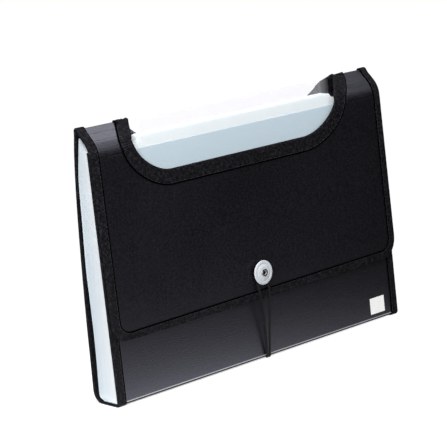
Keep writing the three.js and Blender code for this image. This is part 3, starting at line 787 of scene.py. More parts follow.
class FOLDER_OT_studio(bpy.types.Operator):
    """Set the camera, the pale floor and the soft lamps"""
    bl_idname = "folder.studio"
    bl_label = "Studio"

    def execute(self, context):
        settings = context.scene.folder.studio
        scene = context.scene
        scene.view_settings.view_transform = "Standard"
        self.camera(scene, settings)
        self.floor(settings)
        self.surround(scene, settings)
        for name, at, aim, size, power, share in LAMPS:
            self.lamp(name, at, aim, size, getattr(settings, power) * share)
        return {"FINISHED"}

    def camera(self, scene, settings):
        """A camera that looks along the azimuth and elevation, leaning by the roll."""
        data = bpy.data.cameras.new("camera")
        data.lens = settings.lens
        data.sensor_width = 36.0
        data.clip_start = 0.05
        camera = bpy.data.objects.new("camera", data)
        scene.collection.objects.link(camera)
        az, el, roll = settings.azimuth, settings.elevation, settings.roll
        look = Vector((math.sin(az) * math.cos(el), math.cos(az) * math.cos(el), -math.sin(el)))
        level = look.cross(Vector((0, 0, 1))).normalized()
        upright = level.cross(look)
        right = level * math.cos(roll) - upright * math.sin(roll)
        up = upright * math.cos(roll) + level * math.sin(roll)
        turn = Matrix((right, up, -look)).transposed().to_4x4()
        camera.matrix_world = Matrix.Translation(Vector(settings.camera_at)) @ turn
        scene.camera = camera

    def floor(self, settings):
        """A plain floor with a painted pool of light: its colour is pale near the folder and nearly black
        further out. It is white where the camera sees it, and glows in the folder's own reflections with
        the third power of the nearness, a painted reflection."""
        edge = FLOOR_HALF
        corners = [[-edge, -edge, 0], [edge, -edge, 0], [edge, edge, 0], [-edge, edge, 0]]
        m = Nodes("studio_floor")
        m.set(Roughness=0.6, Specular_IOR_Level=0.2)
        place = m.add("ShaderNodeMapping", Vector=m.coordinates(), Location=PAINTED_POOL_SHIFT, Scale=PAINTED_POOL_SHAPE)
        distance = m.add("ShaderNodeVectorMath", operation="LENGTH", Vector=place.outputs["Vector"])
        far = m.math("DIVIDE", distance.outputs["Value"], settings.pool, use_clamp=True)
        near = m.math("SUBTRACT", 1.0, far)
        # Painted pool of light: the floor's colour falls from pale near the folder to nearly black further
        # out
        m.finish(None, m.ramp(far, (0.0, 0.82), (1.0, 0.04)))
        rays = m.add("ShaderNodeLightPath").outputs
        seen = m.math("MAXIMUM", rays["Is Camera Ray"], rays["Is Transmission Ray"])
        lift = m.math("SUBTRACT", 1.0, m.math("MULTIPLY", near, 1.0 - settings.floor_lift))
        # Painted reflection: near the folder the floor glows for reflected rays, though no lamp is there
        mirrored = m.math("MULTIPLY", m.math("POWER", near, 3.0), settings.painted_reflection_glow)
        strength = m.math(
            "ADD", m.math("MULTIPLY", seen, lift), m.math("MULTIPLY", rays["Is Glossy Ray"], mirrored))
        glow = m.add("ShaderNodeEmission", Color=(1, 1, 1, 1), Strength=strength)
        both = m.add("ShaderNodeAddShader")
        m.plug(m.shader.outputs[0], both.inputs[0])
        m.plug(glow.outputs[0], both.inputs[1])
        build_mesh("studio_floor", corners, [[0, 1, 2, 3]], m.surface(both.outputs[0]))

    def surround(self, scene, settings):
        """White for the camera and through the films, dim as light, and dimmer still in reflections."""
        scene.world = bpy.data.worlds.new("surround")
        m = Nodes("surround", scene.world)
        rays = m.add("ShaderNodeLightPath").outputs
        seen = m.math("MAXIMUM", rays["Is Camera Ray"], rays["Is Transmission Ray"])
        dim = m.spread(rays["Is Glossy Ray"], 0.0, 1.0, settings.surround, settings.mirror_surround)
        m.set(Color=(1, 1, 1, 1), Strength=m.spread(seen, 0.0, 1.0, dim, 1.0))

    def lamp(self, name, at, aim, size, power):
        """A round soft lamp that the camera doesn't see."""
        data = bpy.data.lights.new(name, "AREA")
        data.shape = "DISK"
        data.size = size
        data.energy = power
        lamp = bpy.data.objects.new(name, data)
        bpy.context.scene.collection.objects.link(lamp)
        lamp.location = at
        lamp.visible_camera = False
        lamp.rotation_euler = (Vector(aim) - Vector(at)).to_track_quat("-Z", "Y").to_euler()


# Elastic


def through_points(points, per_span):
    """A smooth curve through points: between each two, the cubic whose end slopes come from the
    points on either side, weighted by the square roots of the distances between them."""
    first, last = 2 * points[0] - points[1], 2 * points[-1] - points[-2]
    p = np.vstack([first, points, last])
    p0, p1, p2, p3 = p[:-3], p[1:-2], p[2:-1], p[3:]
    d0 = np.sqrt(np.linalg.norm(p1 - p0, axis=1))[:, None]
    d1 = np.sqrt(np.linalg.norm(p2 - p1, axis=1))[:, None]
    d2 = np.sqrt(np.linalg.norm(p3 - p2, axis=1))[:, None]
    m1 = ((p1 - p0) / d0 - (p2 - p0) / (d0 + d1) + (p2 - p1) / d1) * d1
    m2 = ((p2 - p1) / d1 - (p3 - p1) / (d1 + d2) + (p3 - p2) / d2) * d1
    t = np.linspace(0, 1, per_span, endpoint=False)[None, :, None]
    a, b, c, d = p1[:, None], p2[:, None], m1[:, None], m2[:, None]
    curve = (
        (2 * t**3 - 3 * t**2 + 1) * a
        + (-2 * t**3 + 3 * t**2) * b
        + (t**3 - 2 * t**2 + t) * c
        + (t**3 - t**2) * d
    )
    return np.vstack([curve.reshape(-1, 3), points[-1:]])


def evenly(points, step):
    """The same line with its points a fixed step apart."""
    length = np.r_[0, np.cumsum(np.linalg.norm(np.diff(points, axis=0), axis=1))]
    count = max(2, int(round(length[-1] / step)) + 1)
    at = np.linspace(0, length[-1], count)
    return np.stack([np.interp(at, length, points[:, i]) for i in range(3)], axis=-1), at


def carried_frames(points):
    """Two directions square to a line, carried along it without twisting: each is the one before,
    reflected in the plane halfway to the next point and then in the one that squares it."""
    tangent = np.gradient(points, axis=0)
    tangent /= np.linalg.norm(tangent, axis=1)[:, None]
    across = np.zeros_like(points)
    start = np.cross(tangent[0], [1.0, 0.0, 0.0])
    across[0] = start / np.linalg.norm(start)
    for i in range(len(points) - 1):
        v = points[i + 1] - points[i]
        r = across[i] - 2 * v * (v @ across[i]) / (v @ v)
        t = tangent[i] - 2 * v * (v @ tangent[i]) / (v @ v)
        w = tangent[i + 1] - t
        across[i + 1] = r - 2 * w * (w @ r) / max(w @ w, 1e-12) if w @ w > 1e-12 else r
    return across, np.cross(tangent, across)


class FOLDER_OT_elastic(bpy.types.Operator):
    """Make the elastic loop round the button, and finish the clip on its ends"""
    bl_idname = "folder.elastic"
    bl_label = "Elastic"

    def execute(self, context):
        settings = context.scene.folder.elastic
        route = row_points(*CORD_ROUTE.T)
        line, along = evenly(through_points(route, 24), CORD_STEP)
        across, beside = carried_frames(line)
        angle = np.linspace(0, 2 * math.pi, settings.sides, endpoint=False)
        radius = settings.diameter / 2
        rings = line[:, None] + radius * (
            np.cos(angle)[None, :, None] * across[:, None] + np.sin(angle)[None, :, None] * beside[:, None]
        )
        uv = np.stack(np.broadcast_arrays(along[:, None], (angle / (2 * math.pi))[None, :]), axis=-1)
        cord = outward(build_mesh(
            "elastic_cord", rings, swept_ring(rings), elastic_material(settings), uv, smooth_angle=60))
        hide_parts("elastic_loop")
        start, end = (row_points(0, *place) for place in CORD_BEND)
        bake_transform(cord)
        finish_nodes(MATERIALS["metal"], "elastic_clip")
        return {"FINISHED"}


# Cover sheet


def window_outline(count=40):
    """The flap window's left and right edges below the knee, as (x, s) in millimetres: each a cubic
    corner between the knee and the straight lower edge."""
    t = np.linspace(0, 1, count)[:, None]

    def cubic(a, b, c, d):
        return (
            (1 - t) ** 3 * np.array(a)
            + 3 * t * (1 - t) ** 2 * np.array(b)
            + 3 * t**2 * (1 - t) * np.array(c)
            + t**3 * np.array(d)
        )

    low, high = KNEE_S + WINDOW_DEPTH, KNEE_S
    full = KNEE_S + WINDOW_DEPTH * WINDOW_FULLNESS
    kl, kr = WINDOW_KNEE
    cl, cr = WINDOW_CORNER
    left = cubic((-kl, high), (-kl, full), (-kl + cl * (1 - WINDOW_FULLNESS), low), (-kl + cl, low))
    right = cubic((kr - cr, low), (kr - cr * (1 - WINDOW_FULLNESS), low), (kr, full), (kr, high))
    return left, right


def window_limits(rows):
    """How far the window's edge lies from the middle at each distance, left and right: slanted up
    the back, a flare to the crest, straight to the knee, and the corners below it."""
    left, right = window_outline()
    limits = []
    known = [BACK_WINDOW_S, FLARE_S, 0.0, KNEE_S]
    sides = zip(BACK_WINDOW_HALF, FLARE_HALF, WINDOW_CREST, WINDOW_KNEE, (left, right[::-1]), (-1, 1))
    for low, flare, crest, knee, corner, side in sides:
        straight = np.interp(rows, known, [low, flare, crest, knee])
        curved = side * np.interp(rows, corner[:, 1], corner[:, 0])
        limits.append(np.where(rows > KNEE_S, curved, straight))
    return limits


def skewed(flat):
    """Moves points of the flap down its left half and up its right half, more towards the hem, so
    that the hem slants."""
    low, high = KNEE_S + WINDOW_DEPTH, HEM_S - HEM_RADIUS
    share = np.clip((flat[..., 1] - low) / (high - low), 0, 1)
    moved = flat.copy()
    moved[..., 1] -= flat[..., 0] / HALF_COVER * HEM_RISE / 2 * share
    return moved


def joined_rows(*rows):
    """Rows of distances as one, in order and without repeats."""
    return np.unique(np.round(np.concatenate(rows), 3))


def rows_between(start, end, step, marks=()):
    """Distances from start to end about a step apart, closer round each mark."""
    rows = [np.linspace(start, end, max(2, int(round(abs(end - start) / step)) + 1))]
    for mark in marks:
        near = mark + np.array([-1.2, -0.8, -0.5, -0.25, 0, 0.25, 0.5, 0.8, 1.2])
        rows.append(near[(near > start + 0.05) & (near < end - 0.05)])
    return joined_rows(*rows)


def cover_faces(settings):
    """Maps (x, s) and a side to points: the middle line moved half the gauge out or in, with a soft
    groove along each scored line."""
    def place(flat, side):
        x, s = flat[:, 0], flat[:, 1]
        groove = sum(np.exp(-(((s - score) / SCORE_WIDTH) ** 2)) for score in SCORES) * settings.score_depth
        fade = (s > 2).astype(float)
        share = SCORE_OUTSIDE if side > 0 else SCORE_INSIDE
        y, z = COVER.point(s, settings.rim * side - groove * fade * share)
        return row_points(x, y, z)
    return place


def side_patch(rows, start, end, count):
    """A grid between two limits of x at each distance s, with a count of points across."""
    x = start[:, None] + (end - start)[:, None] * np.linspace(0, 1, count)
    return np.stack([x, np.broadcast_to(rows[:, None], x.shape)], axis=-1)


class FOLDER_OT_cover(bpy.types.Operator):
    """Make the cover sheet: base and back, shoulders over the crest and the knee, and the flap"""
    bl_idname = "folder.cover"
    bl_label = "Cover Sheet"

    def execute(self, context):
        settings = context.scene.folder.cover
        material = MATERIALS["cover"]
        finish_nodes(material, "front_panel")
        self.back(settings, material)
        self.shoulders(settings, material)
        self.flap(settings, material)
        return {"FINISHED"}

    def sheet(self, name, patches, settings, material):
        """One piece of the cover from its grids."""
        points, faces, uv = thicken(patches, cover_faces(settings))
        obj = outward(build_mesh(name, points, faces, material, uv, smooth_angle=30))
        return obj

    def back(self, settings, material):
        """The base and back: full width up to the window, then two sides that narrow to the crest."""
        start = float(COVER.s[0])
        corner = rows_between(start + REAR_CORNER[0], start + REAR_CORNER[1], FOLD_STEP)
        low = joined_rows(rows_between(start, BACK_WINDOW_S, LOW_BACK_STEP), corner)
        high = rows_between(BACK_WINDOW_S, CUT_BACK, HIGH_BACK_STEP)
        left, right = window_limits(high)
        ends = np.full(len(high), HALF_COVER)
        patches = [side_patch(high, -ends, -left, 8), side_patch(high, right, ends, 8)]
        wide = np.full(len(low), HALF_COVER)
        left, right = (np.full(len(low), half) for half in BACK_WINDOW_HALF)
        patches += [
            side_patch(low, -wide, -left, 8),
            side_patch(low, -left, right, 14),
            side_patch(low, right, wide, 8),
        ]
        obj = self.sheet("back_and_base_sheet", patches, settings, material)
        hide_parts("back_panel", "base_panel")
        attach(obj, "shell")

    def shoulders(self, settings, material):
        """Two strips over the crest, and two over the knee, each between the side edge and the
        window."""
        for name, start, end, marks, bend in (
            ("crest_sheet", CUT_BACK, CUT_BAND, (FLARE_S, 0.0, SCORES[0]), bend_crest),
            ("knee_sheet", CUT_BAND, CUT_FLAP, SCORES, bend_knee),
        ):
            rows = rows_between(start, end, FOLD_STEP, marks)
            left, right = window_limits(rows)
            outer = np.full(len(rows), HALF_COVER)
            patches = [side_patch(rows, -outer, -left, 12), side_patch(rows, right, outer, 12)]
            obj = self.sheet(name, patches, settings, material)
            bend(obj)
            if bend is bend_crest:
                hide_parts("shoulder_left", "shoulder_right")

    def flap(self, settings, material):
        """The flap below the knee: its sides reach down beside the window, and its hem corners are
        quarter circles."""
        bottom = KNEE_S + WINDOW_DEPTH
        end = HEM_S
        high = rows_between(CUT_FLAP, bottom, HIGH_FLAP_STEP)
        curved = end - HEM_RADIUS * (1 - np.sin(np.linspace(0, math.pi / 2, 14)))
        low = joined_rows(rows_between(bottom, end - HEM_RADIUS, LOW_FLAP_STEP), curved)
        left, right = window_limits(high)
        inset = HALF_COVER - HEM_RADIUS
        depth = np.clip((low - (end - HEM_RADIUS)) / HEM_RADIUS, 0, 1)
        outer_low = inset + HEM_RADIUS * np.sqrt(np.maximum(0, 1 - depth**2))
        outer = np.full(len(high), HALF_COVER)
        ones = np.ones(len(low))
        patches = [
            side_patch(high, -outer, -left, 14),
            side_patch(high, right, outer, 14),
            side_patch(low, -outer_low, -left[-1] * ones, 14),
            side_patch(low, -left[-1] * ones, right[-1] * ones, 24),
            side_patch(low, right[-1] * ones, outer_low, 14),
        ]
        patches = [skewed(patch) for patch in patches]
        obj = self.sheet("flap_sheet", patches, settings, material)
        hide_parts("flap_panel")
        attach(obj, "flap")


def bend_crest(obj):
    """Bakes a piece's placement into its mesh; the ends of a bend over the crest, between the shell and the
    shoulders, are worked out but not used.
    """
    at, across, _ = COVER.fold
    start, end = (row_points(0, *(at + side * across * CREST_SPAN)) for side in (-1, 1))
    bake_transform(obj)


def bend_knee(obj):
    """Bakes a piece's placement into its mesh; the ends of a bend over the knee, between the shoulders and
    the flap, are worked out but not used.
    """
    reach = KNEE_REACH - KNEE_MARGIN
    start, end = (row_points(0, *COVER.point(KNEE_S + side * reach, 0)) for side in (-1, 1))
    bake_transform(obj)


# Binding tape


def tape_section(width):
    """The section of a tape folded over an edge, as distance in from the edge and height off the
    sheet: out along one face, round the edge, back along the other face, and back inside."""
    top = TAPE_TOP
    over = np.array([
        [width, top - 0.38], [width - 0.08, top - 0.1], [width - 0.4, top], [width - 1.0, top + 0.03],
        [width * 0.62, top + 0.02], [width * 0.35, top + 0.05], [1.4, top + 0.1], [0.5, top + 0.05],
        [-0.15, top - 0.12], [-0.55, top - 0.45], [-0.72, top - 0.8],
    ])
    mirrored = over[::-1] * np.array([1, -1])
    inner = FILM / 2 + 0.03
    inside = np.array([
        [width, -inner], [width * 0.5, -inner], [0.4, -inner], [-0.15, -inner * 0.55],
        [-0.15, inner * 0.55], [0.4, inner], [width * 0.5, inner], [width, inner],
    ])
    section = np.vstack([over, mirrored, inside])
    faces = np.r_[np.ones(len(over)), np.ones(len(mirrored)), np.zeros(len(inside))]
    return section, faces


def tape_mesh(name, path, edge, inward, width, settings, wave_seed=0.0, proud=0.0):
    """Carries the folded section along an edge drawn in the sheet as (x, s).

    A section point lies its own distance in from the edge along the inward direction, and its own
    height off the sheet. The outside rises and falls with two small waves along the length, sinks
    along the seam, and stands proud of the crest, both by a bell curve of the distance from them.
    """
    section, outside = tape_section(width)
    step = np.hypot(*np.diff(edge, axis=0).T)
    along = np.r_[0, np.cumsum(step)]
    x = edge[:, None, 0] + inward[:, None, 0] * section[None, :, 0]
    s = edge[:, None, 1] + inward[:, None, 1] * section[None, :, 0]
    wave = settings.pucker * sum(
        share * np.sin(along * 2 * math.pi / length + turn * wave_seed)
        for length, share, turn in PUCKER_WAVES
    )
    seam = np.exp(-(((section[:, 0] - (width - SEAM_INSET)) / SEAM_WIDTH) ** 2)) * SEAM_DEPTH
    height = section[:, 1] + (wave[:, None] - seam) * np.sign(section[:, 1]) * outside
    height = height + proud * np.exp(-((s / CREST_BULGE) ** 2)) * (section[:, 1] > 0) * outside
    y, z = path.point(s, height)
    rings = row_points(x, y, z)
    around = np.r_[0, np.cumsum(np.hypot(*np.diff(section, axis=0).T))]
    uv = np.stack(np.broadcast_arrays(along[:, None] * MM, around[None, :] * MM), axis=-1).reshape(-1, 2)
    points = rings.reshape(-1, 3)
    faces = swept_ring(rings)
    slots = [0] * len(faces)
    thread, thread_faces, thread_uv = stitches(path, edge, inward, along, width, settings)
    faces += [[i + len(points) for i in f] for f in thread_faces]
    slots += [1] * len(thread_faces)
    return build_mesh(
        name, np.vstack([points, thread]), faces, [MATERIALS["tape"], MATERIALS["thread"]],
        np.vstack([uv, thread_uv]), smooth_angle=50, slots=slots)


def stitches(path, edge, inward, along, width, settings):
    """Rows of small rounded stitches on both faces of a tape, laid in the sheet's own coordinates.

    Each is a six-sided bead. Along it, its thickness is a tenth plus nine tenths of the square root of
    one minus the fourth power of the distance from its middle."""
    pitch = settings.stitch_length + settings.stitch_gap
    count = max(1, int(along[-1] // pitch))
    middle = (np.arange(count) + 0.5) * (along[-1] / count)
    t = np.array([-1.0, -0.8, 0.0, 0.8, 1.0])
    swell = (np.sqrt(np.maximum(0.0, 1 - t**4)) * 0.9 + 0.1)[:, None]
    angle = np.arange(6) * math.pi / 3
    top = TAPE_TOP - STITCH_SINK
    corners = len(t) * len(angle)
    bead = grid_faces(len(t), len(angle), closed=True)
    caps = np.array([range(len(angle) - 1, -1, -1), range(corners - len(angle), corners)])
    pieces, first, faces, uvs = [], 0, [], []
    for face in (1, -1):
        at = middle[:, None, None] + (t * settings.stitch_length / 2)[:, None] + 0 * angle
        offset = (width - SEAM_INSET) + STITCH_HALF_WIDTH * swell * np.cos(angle) + 0 * at
        lift = face * (top + STITCH_HALF_HEIGHT * swell * np.sin(angle) + 0 * at)
        ex, es = np.interp(at, along, edge[:, 0]), np.interp(at, along, edge[:, 1])
        ix, i_s = np.interp(at, along, inward[:, 0]), np.interp(at, along, inward[:, 1])
        y, z = path.point(es + i_s * offset, lift)
        pieces.append(row_points(ex + ix * offset, y, z).reshape(-1, 3))
        uvs.append(np.stack([at * MM, 0 * at + angle * 0.0002], axis=-1).reshape(-1, 2))
        start = first + np.arange(count)[:, None, None] * corners
        faces += (bead + start).reshape(-1, 4).tolist()
        faces += (caps + start).reshape(-1, len(angle)).tolist()
        first += count * corners
    return np.vstack(pieces), faces, np.vstack(uvs)


def straight_strip(x, rows):
    """An edge at one x with a point at each row, and the direction in from it."""
    edge = np.stack([np.full(len(rows), x), rows], axis=-1)
    inward = np.zeros_like(edge)
    inward[:, 0] = -np.sign(x)
    return edge, inward


def straight_edge(x, start, end, step):
    """A straight strip over a span of distances, with more rows at the crest if it crosses it."""
    return straight_strip(x, rows_between(start, end, step, (0.0,) if start < 0 < end else ()))


def edge_normals(edge, turn):
    """The direction square to an edge, on the side that turn gives."""
    tangent = np.gradient(edge, axis=0)
    tangent /= np.hypot(*tangent.T)[:, None]
    return np.stack([-tangent[:, 1], tangent[:, 0]], axis=-1) * turn


def evenly_flat(points, step):
    """The same flat line with its points about a step apart."""
    length = np.r_[0, np.cumsum(np.hypot(*np.diff(points, axis=0).T))]
    at = np.linspace(0, length[-1], max(2, int(length[-1] / step) + 1))
    return np.stack([np.interp(at, length, points[:, i]) for i in range(2)], axis=-1)


class FOLDER_OT_bindings(bpy.types.Operator):
    """Fold the woven tape over every edge, with its stitching"""
    bl_idname = "folder.bindings"
    bl_label = "Binding Tape"

    def execute(self, context):
        settings = context.scene.folder.binding
        for side, label in ((-1, "left"), (1, "right")):
            self.side(side, label, settings)
            self.front(side, label, settings)
        self.hem(settings)
        self.window(settings)
        return {"FINISHED"}

    def tape(self, name, path, strip, settings, width=None, wave_seed=0.0, proud=0.0):
        """One length of tape along a strip: an edge, and the direction in from it."""
        width = width or settings.edge_width
        obj = outward(tape_mesh(name, path, *strip, width, settings, wave_seed, proud))
        return obj

    def side(self, side, label, settings):
        """Side edges of the base and back, over the crest, and over the knee."""
        x = side * HALF_COVER
        strip = straight_edge(x, float(COVER.s[0]) + BACK_TAPE_START, CUT_BACK, BACK_TAPE_STEP)
        obj = self.tape(f"back_binding_{label}", COVER, strip, settings)
        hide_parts(f"back_tape_{label}", f"base_tape_{label}")
        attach(obj, "shell")
        strip = straight_edge(x, CUT_BACK, CUT_BAND, CREST_TAPE_STEP)
        obj = self.tape(f"crest_binding_{label}", COVER, strip, settings, proud=CREST_PROUD)
        bend_crest(obj)
        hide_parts(f"shoulder_tape_{label}")
        strip = straight_edge(x, CUT_BAND, CUT_FLAP, KNEE_TAPE_STEP)
        obj = self.tape(f"knee_binding_{label}", COVER, strip, settings)
        bend_knee(obj)

    def front(self, side, label, settings):
        """Side edges of the front cover, from its top to under the fold."""
        end = float(FRONT.s[-1])
        fold = end - FRONT_FOLD_SPAN
        rows = joined_rows(np.linspace(0, fold, FRONT_ROWS[0]), np.linspace(fold, end, FRONT_ROWS[1]))
        obj = self.tape(f"front_binding_{label}", FRONT, straight_strip(side * HALF_COVER, rows), settings)
        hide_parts(f"front_tape_{label}")
        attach(obj, "front_cover")

    def hem(self, settings):
        """The flap's side edges and hem as one length of tape."""
        end = HEM_S
        inset = HALF_COVER - HEM_RADIUS
        left = arc((-inset, end - HEM_RADIUS), HEM_RADIUS, math.pi, math.pi / 2, 22)
        right = arc((inset, end - HEM_RADIUS), HEM_RADIUS, math.pi / 2, 0, 22)
        outline = np.vstack([[[-HALF_COVER, CUT_FLAP]], left, right, [[HALF_COVER, CUT_FLAP]]])
        edge = skewed(evenly_flat(outline, HEM_STEP))
        inward = edge_normals(edge, -1)
        inward[0] = (1, 0)
        inward[-1] = (-1, 0)
        obj = self.tape("flap_binding", COVER, (edge, inward), settings, wave_seed=1.0)
        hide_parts("flap_tape")
        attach(obj, "flap")

    def window(self, settings):
        """The window's edge: each end over the crest and the knee, and the rest as one length."""
        left, right = window_outline()
        tail = np.array([TAIL_S, FLARE_S, 0.0])
        tail_left, tail_right = window_limits(tail)
        outline = np.vstack([
            np.stack([-tail_left, tail], axis=-1),
            left,
            right,
            np.stack([tail_right, tail], axis=-1)[::-1],
        ])
        edge = evenly_flat(outline, WINDOW_STEP)
        inward = edge_normals(edge, 1)
        count = 2 * WINDOW_SMOOTHING + 1
        smooth = np.ones(count) / count
        for axis in (0, 1):
            padded = np.pad(inward[:, axis], WINDOW_SMOOTHING, mode="edge")
            inward[:, axis] = np.convolve(padded, smooth, mode="valid")
        inward /= np.hypot(*inward.T)[:, None]
        half = len(edge) // 2
        width = settings.window_width
        cuts = []
        for label, order in (("left", slice(0, half)), ("right", slice(len(edge) - 1, half - 1, -1))):
            e, n = edge[order], inward[order]
            band, flap = (int(np.argmax(e[:, 1] >= cut)) for cut in (CUT_BAND, CUT_FLAP))
            strip = e[: band + 1], n[: band + 1]
            obj = self.tape(f"window_crest_{label}", COVER, strip, settings, width, proud=CREST_PROUD)
            bend_crest(obj)
            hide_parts(f"window_tape_{label}")
            strip = e[band: flap + 1], n[band: flap + 1]
            obj = self.tape(f"window_knee_{label}", COVER, strip, settings, width)
            bend_knee(obj)
            cuts.append(flap)
        between = slice(cuts[0], len(edge) - cuts[1])
        obj = self.tape("window_binding", COVER, (edge[between], inward[between]), settings, width)
        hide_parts("window_tape")
        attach(obj, "flap")


# Films and pleats


class FOLDER_OT_films(bpy.types.Operator):
    """Finish the film behind the front, the dividers and their index strips"""
    bl_idname = "folder.films"
    bl_label = "Films"

    def execute(self, context):
        settings = context.scene.folder.film
        front = film_material("frosted_front_film", tuple(settings.front_tint), (0.6, 0.7, 0.76), 0.35, 0.25)
        divider = film_material("divider_film", tuple(settings.divider_tint), (0.8, 0.88, 0.9), 0.4, 0.35)
        clear = clear_material(settings)
        clear_rear = clear_material(settings, straight=True)
        finish_nodes(front, "front_film")
        for i in range(1, DIVIDERS + 1):
            finish_nodes(divider, f"divider_{i:02d}")
            self.strip(i, clear if i <= CLEAR_FRONT else clear_rear)
        return {"FINISHED"}

    def strip(self, i, material):
        """One index strip as a single sheet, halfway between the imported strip's two faces: its lower
        and its upper edge are the means of the corners there, joined by straight lines."""
        name = f"index_strip_{i:02d}"
        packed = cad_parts[name].data
        corners = np.empty(len(packed.vertices) * 3)
        packed.vertices.foreach_get("co", corners)
        corners = corners.reshape(-1, 3)
        middle = corners[:, 2].mean()
        half = np.abs(corners[:, 0]).max()
        low = corners[corners[:, 2] < middle].mean(axis=0)
        high = corners[corners[:, 2] > middle].mean(axis=0)
        across = np.linspace(-half, half, 9)
        up = np.linspace(0, 1, 3)[:, None, None]
        edge = np.stack([across, 0 * across, 0 * across], axis=-1)[None]
        points = (1 - up) * low + up * high
        points = np.broadcast_to(points, (3, 9, 3)) * np.array([0.0, 1.0, 1.0]) + edge
        obj = build_mesh(f"clear_strip_{i:02d}", points, grid_faces(3, 9), material)
        obj.visible_shadow = False
        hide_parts(name)
        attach(obj, f"pocket_{i:02d}")


def film_place(k, height):
    """Depth of the k-th film at a height: evenly spaced in the stack, the last one on the back."""
    flat_end = np.minimum(stack_back(height), back_inside(height))
    flat = stack_front(height) + (flat_end - stack_front(height)) * min(k, DIVIDERS) / POCKETS
    share = max(0.0, k - DIVIDERS)
    return flat + (back_inside(height) - flat) * share


def pleat_span(k):
    """Two points as depth and height: before and behind the middle between a pleat's two films, square
    to their mean lean."""
    films = (k, min(k + 1, DIVIDERS))
    low, middle, high = PLEAT_HEIGHTS
    lean = float(sum((film_place(film, high) - film_place(film, low)) / (high - low) for film in films) / 2)
    direction = np.array([1.0, -lean]) / math.hypot(1.0, lean)
    depth = float(sum(film_place(film, middle) for film in films) / 2)
    if k == DIVIDERS:
        depth += REAR_PLEAT_MIDDLE
    centre = np.array([depth, middle])
    reach = float(film_place(1, STACK_TOP) - film_place(0, STACK_TOP)) / 2 - 0.1
    return centre - direction * reach, centre + direction * reach


class FOLDER_OT_pleats(bpy.types.Operator):
    """Fold the pleated sides, one pleat between every two neighbours of the stack"""
    bl_idname = "folder.pleats"
    bl_label = "Pleats"

    def execute(self, context):
        settings = context.scene.folder.film
        # The pleats darken towards the back of the stack: painted shade
        material = film_material(
            "pleat_film", tuple(settings.pleat_tint), (0.82, 0.85, 0.87), 0.35, 0.3, painted_back_shade=(0.6, 0.68, 0.74))
        for side, label in ((-1, "left"), (1, "right")):
            pieces = [self.pleat(k, side, label, settings, material) for k in range(POCKETS)]
            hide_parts(f"pleats_{label}")
        return {"FINISHED"}

    def pleat(self, k, side, label, settings, material):
        """One pleat: from film k out to a soft fold and back to film k + 1. Across it, the distance
        out is the depth times one minus the distance from the middle to a power, and the depth
        behind the front runs evenly; up it, the fold wanders a little with two slow waves."""
        v = np.unique(np.concatenate([np.linspace(0, 0.06, 6), np.linspace(0.06, 1, 34)]))
        u = np.linspace(0, 1, 13)
        height = PLEAT_BOTTOM + (PLEAT_FRONT_TOP - PLEAT_BOTTOM) * v[:, None] + 0 * u[None, :]
        near, far = film_place(k, height), film_place(k + 1, height)
        near, far = near + PLEAT_GAP, far - PLEAT_GAP
        depth = near + (far - near) * u[None, :]
        out = (1 - np.abs(2 * u - 1) ** PLEAT_ROUND) * np.ones_like(height)
        if k == DIVIDERS:
            out *= 1 - RECESS_SHARE * np.clip((RECESS_TOP - height) / RECESS_SPAN, 0, 1)
        wave = settings.pleat_wave * (
            np.sin(v * 9.0 + k * 2.1) * 0.6 + np.sin(v * 21.0 + k * 1.3 + side) * 0.4
        )
        x = STACK_HALF + PLEAT_CLEARANCE + (PLEAT_DEPTH + wave[:, None]) * out
        first, last = stack_front(height), back_inside(height)
        share = np.clip((depth - first) / (last - first), 0, 1)
        slant = share * (PLEAT_BACK_TOP - PLEAT_FRONT_TOP) * np.clip((v[:, None] - 0.9) / 0.1, 0, 1)
        depth = depth - slant * share * 0.35
        height = height + slant
        middle = np.stack([x, depth, height], axis=-1)
        normal = np.cross(np.gradient(middle, axis=1), np.gradient(middle, axis=0))
        normal /= np.linalg.norm(normal, axis=-1)[..., None]
        outer, inner = middle + normal * PLEAT_HALF_GAUGE, middle - normal * PLEAT_HALF_GAUGE
        ring = np.concatenate([outer, inner[:, ::-1]], axis=1)
        points = row_points(side * ring[..., 0], ring[..., 1], ring[..., 2])
        name = f"pleat_{label}_{k + 1:02d}"
        obj = outward(build_mesh(name, points, swept_ring(points), material, smooth_angle=60))
        start, end = (row_points(0, *place) for place in pleat_span(k))
        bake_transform(obj)
        return obj


# Button and label


def turned(name, profile, material, at, tilt):
    """A closed profile of (radius, distance forward) turned about an axis that points forward."""
    profile = np.array(profile, float)
    angle = np.linspace(0, 2 * math.pi, 96, endpoint=False)
    radius, forward = profile[:, 0], profile[:, 1]
    x = radius[None, :] * np.cos(angle)[:, None]
    up = radius[None, :] * np.sin(angle)[:, None]
    out = np.broadcast_to(forward[None, :], x.shape)
    depth = at[1] - out * math.cos(tilt) + up * math.sin(tilt)
    height = at[2] + up * math.cos(tilt) + out * math.sin(tilt)
    points = row_points(at[0] + x, depth, height)
    count = len(profile)
    rows = np.arange(len(angle))
    a = rows[:, None] * count + np.arange(count)[None, :]
    b = np.roll(a, -1, axis=0)
    quads = np.stack([a, np.roll(a, -1, axis=1), np.roll(b, -1, axis=1), b], axis=-1).reshape(-1, 4)
    return outward(build_mesh(name, points, quads, material, smooth_angle=35))


def rounded(points, radius, steps=5):
    """A closed profile with each corner replaced by a short curve."""
    points = np.array(points, float)
    before, after = np.roll(points, 1, axis=0), np.roll(points, -1, axis=0)
    to_before = before - points
    to_after = after - points
    lb = np.linalg.norm(to_before, axis=1)[:, None]
    la = np.linalg.norm(to_after, axis=1)[:, None]
    reach = np.minimum(radius, np.minimum(lb, la) * 0.45)
    start, end = points + to_before / lb * reach, points + to_after / la * reach
    t = np.linspace(0, 1, steps)[None, :, None]
    curve = (1 - t) ** 2 * start[:, None] + 2 * t * (1 - t) * points[:, None] + t**2 * end[:, None]
    return curve.reshape(-1, 2)


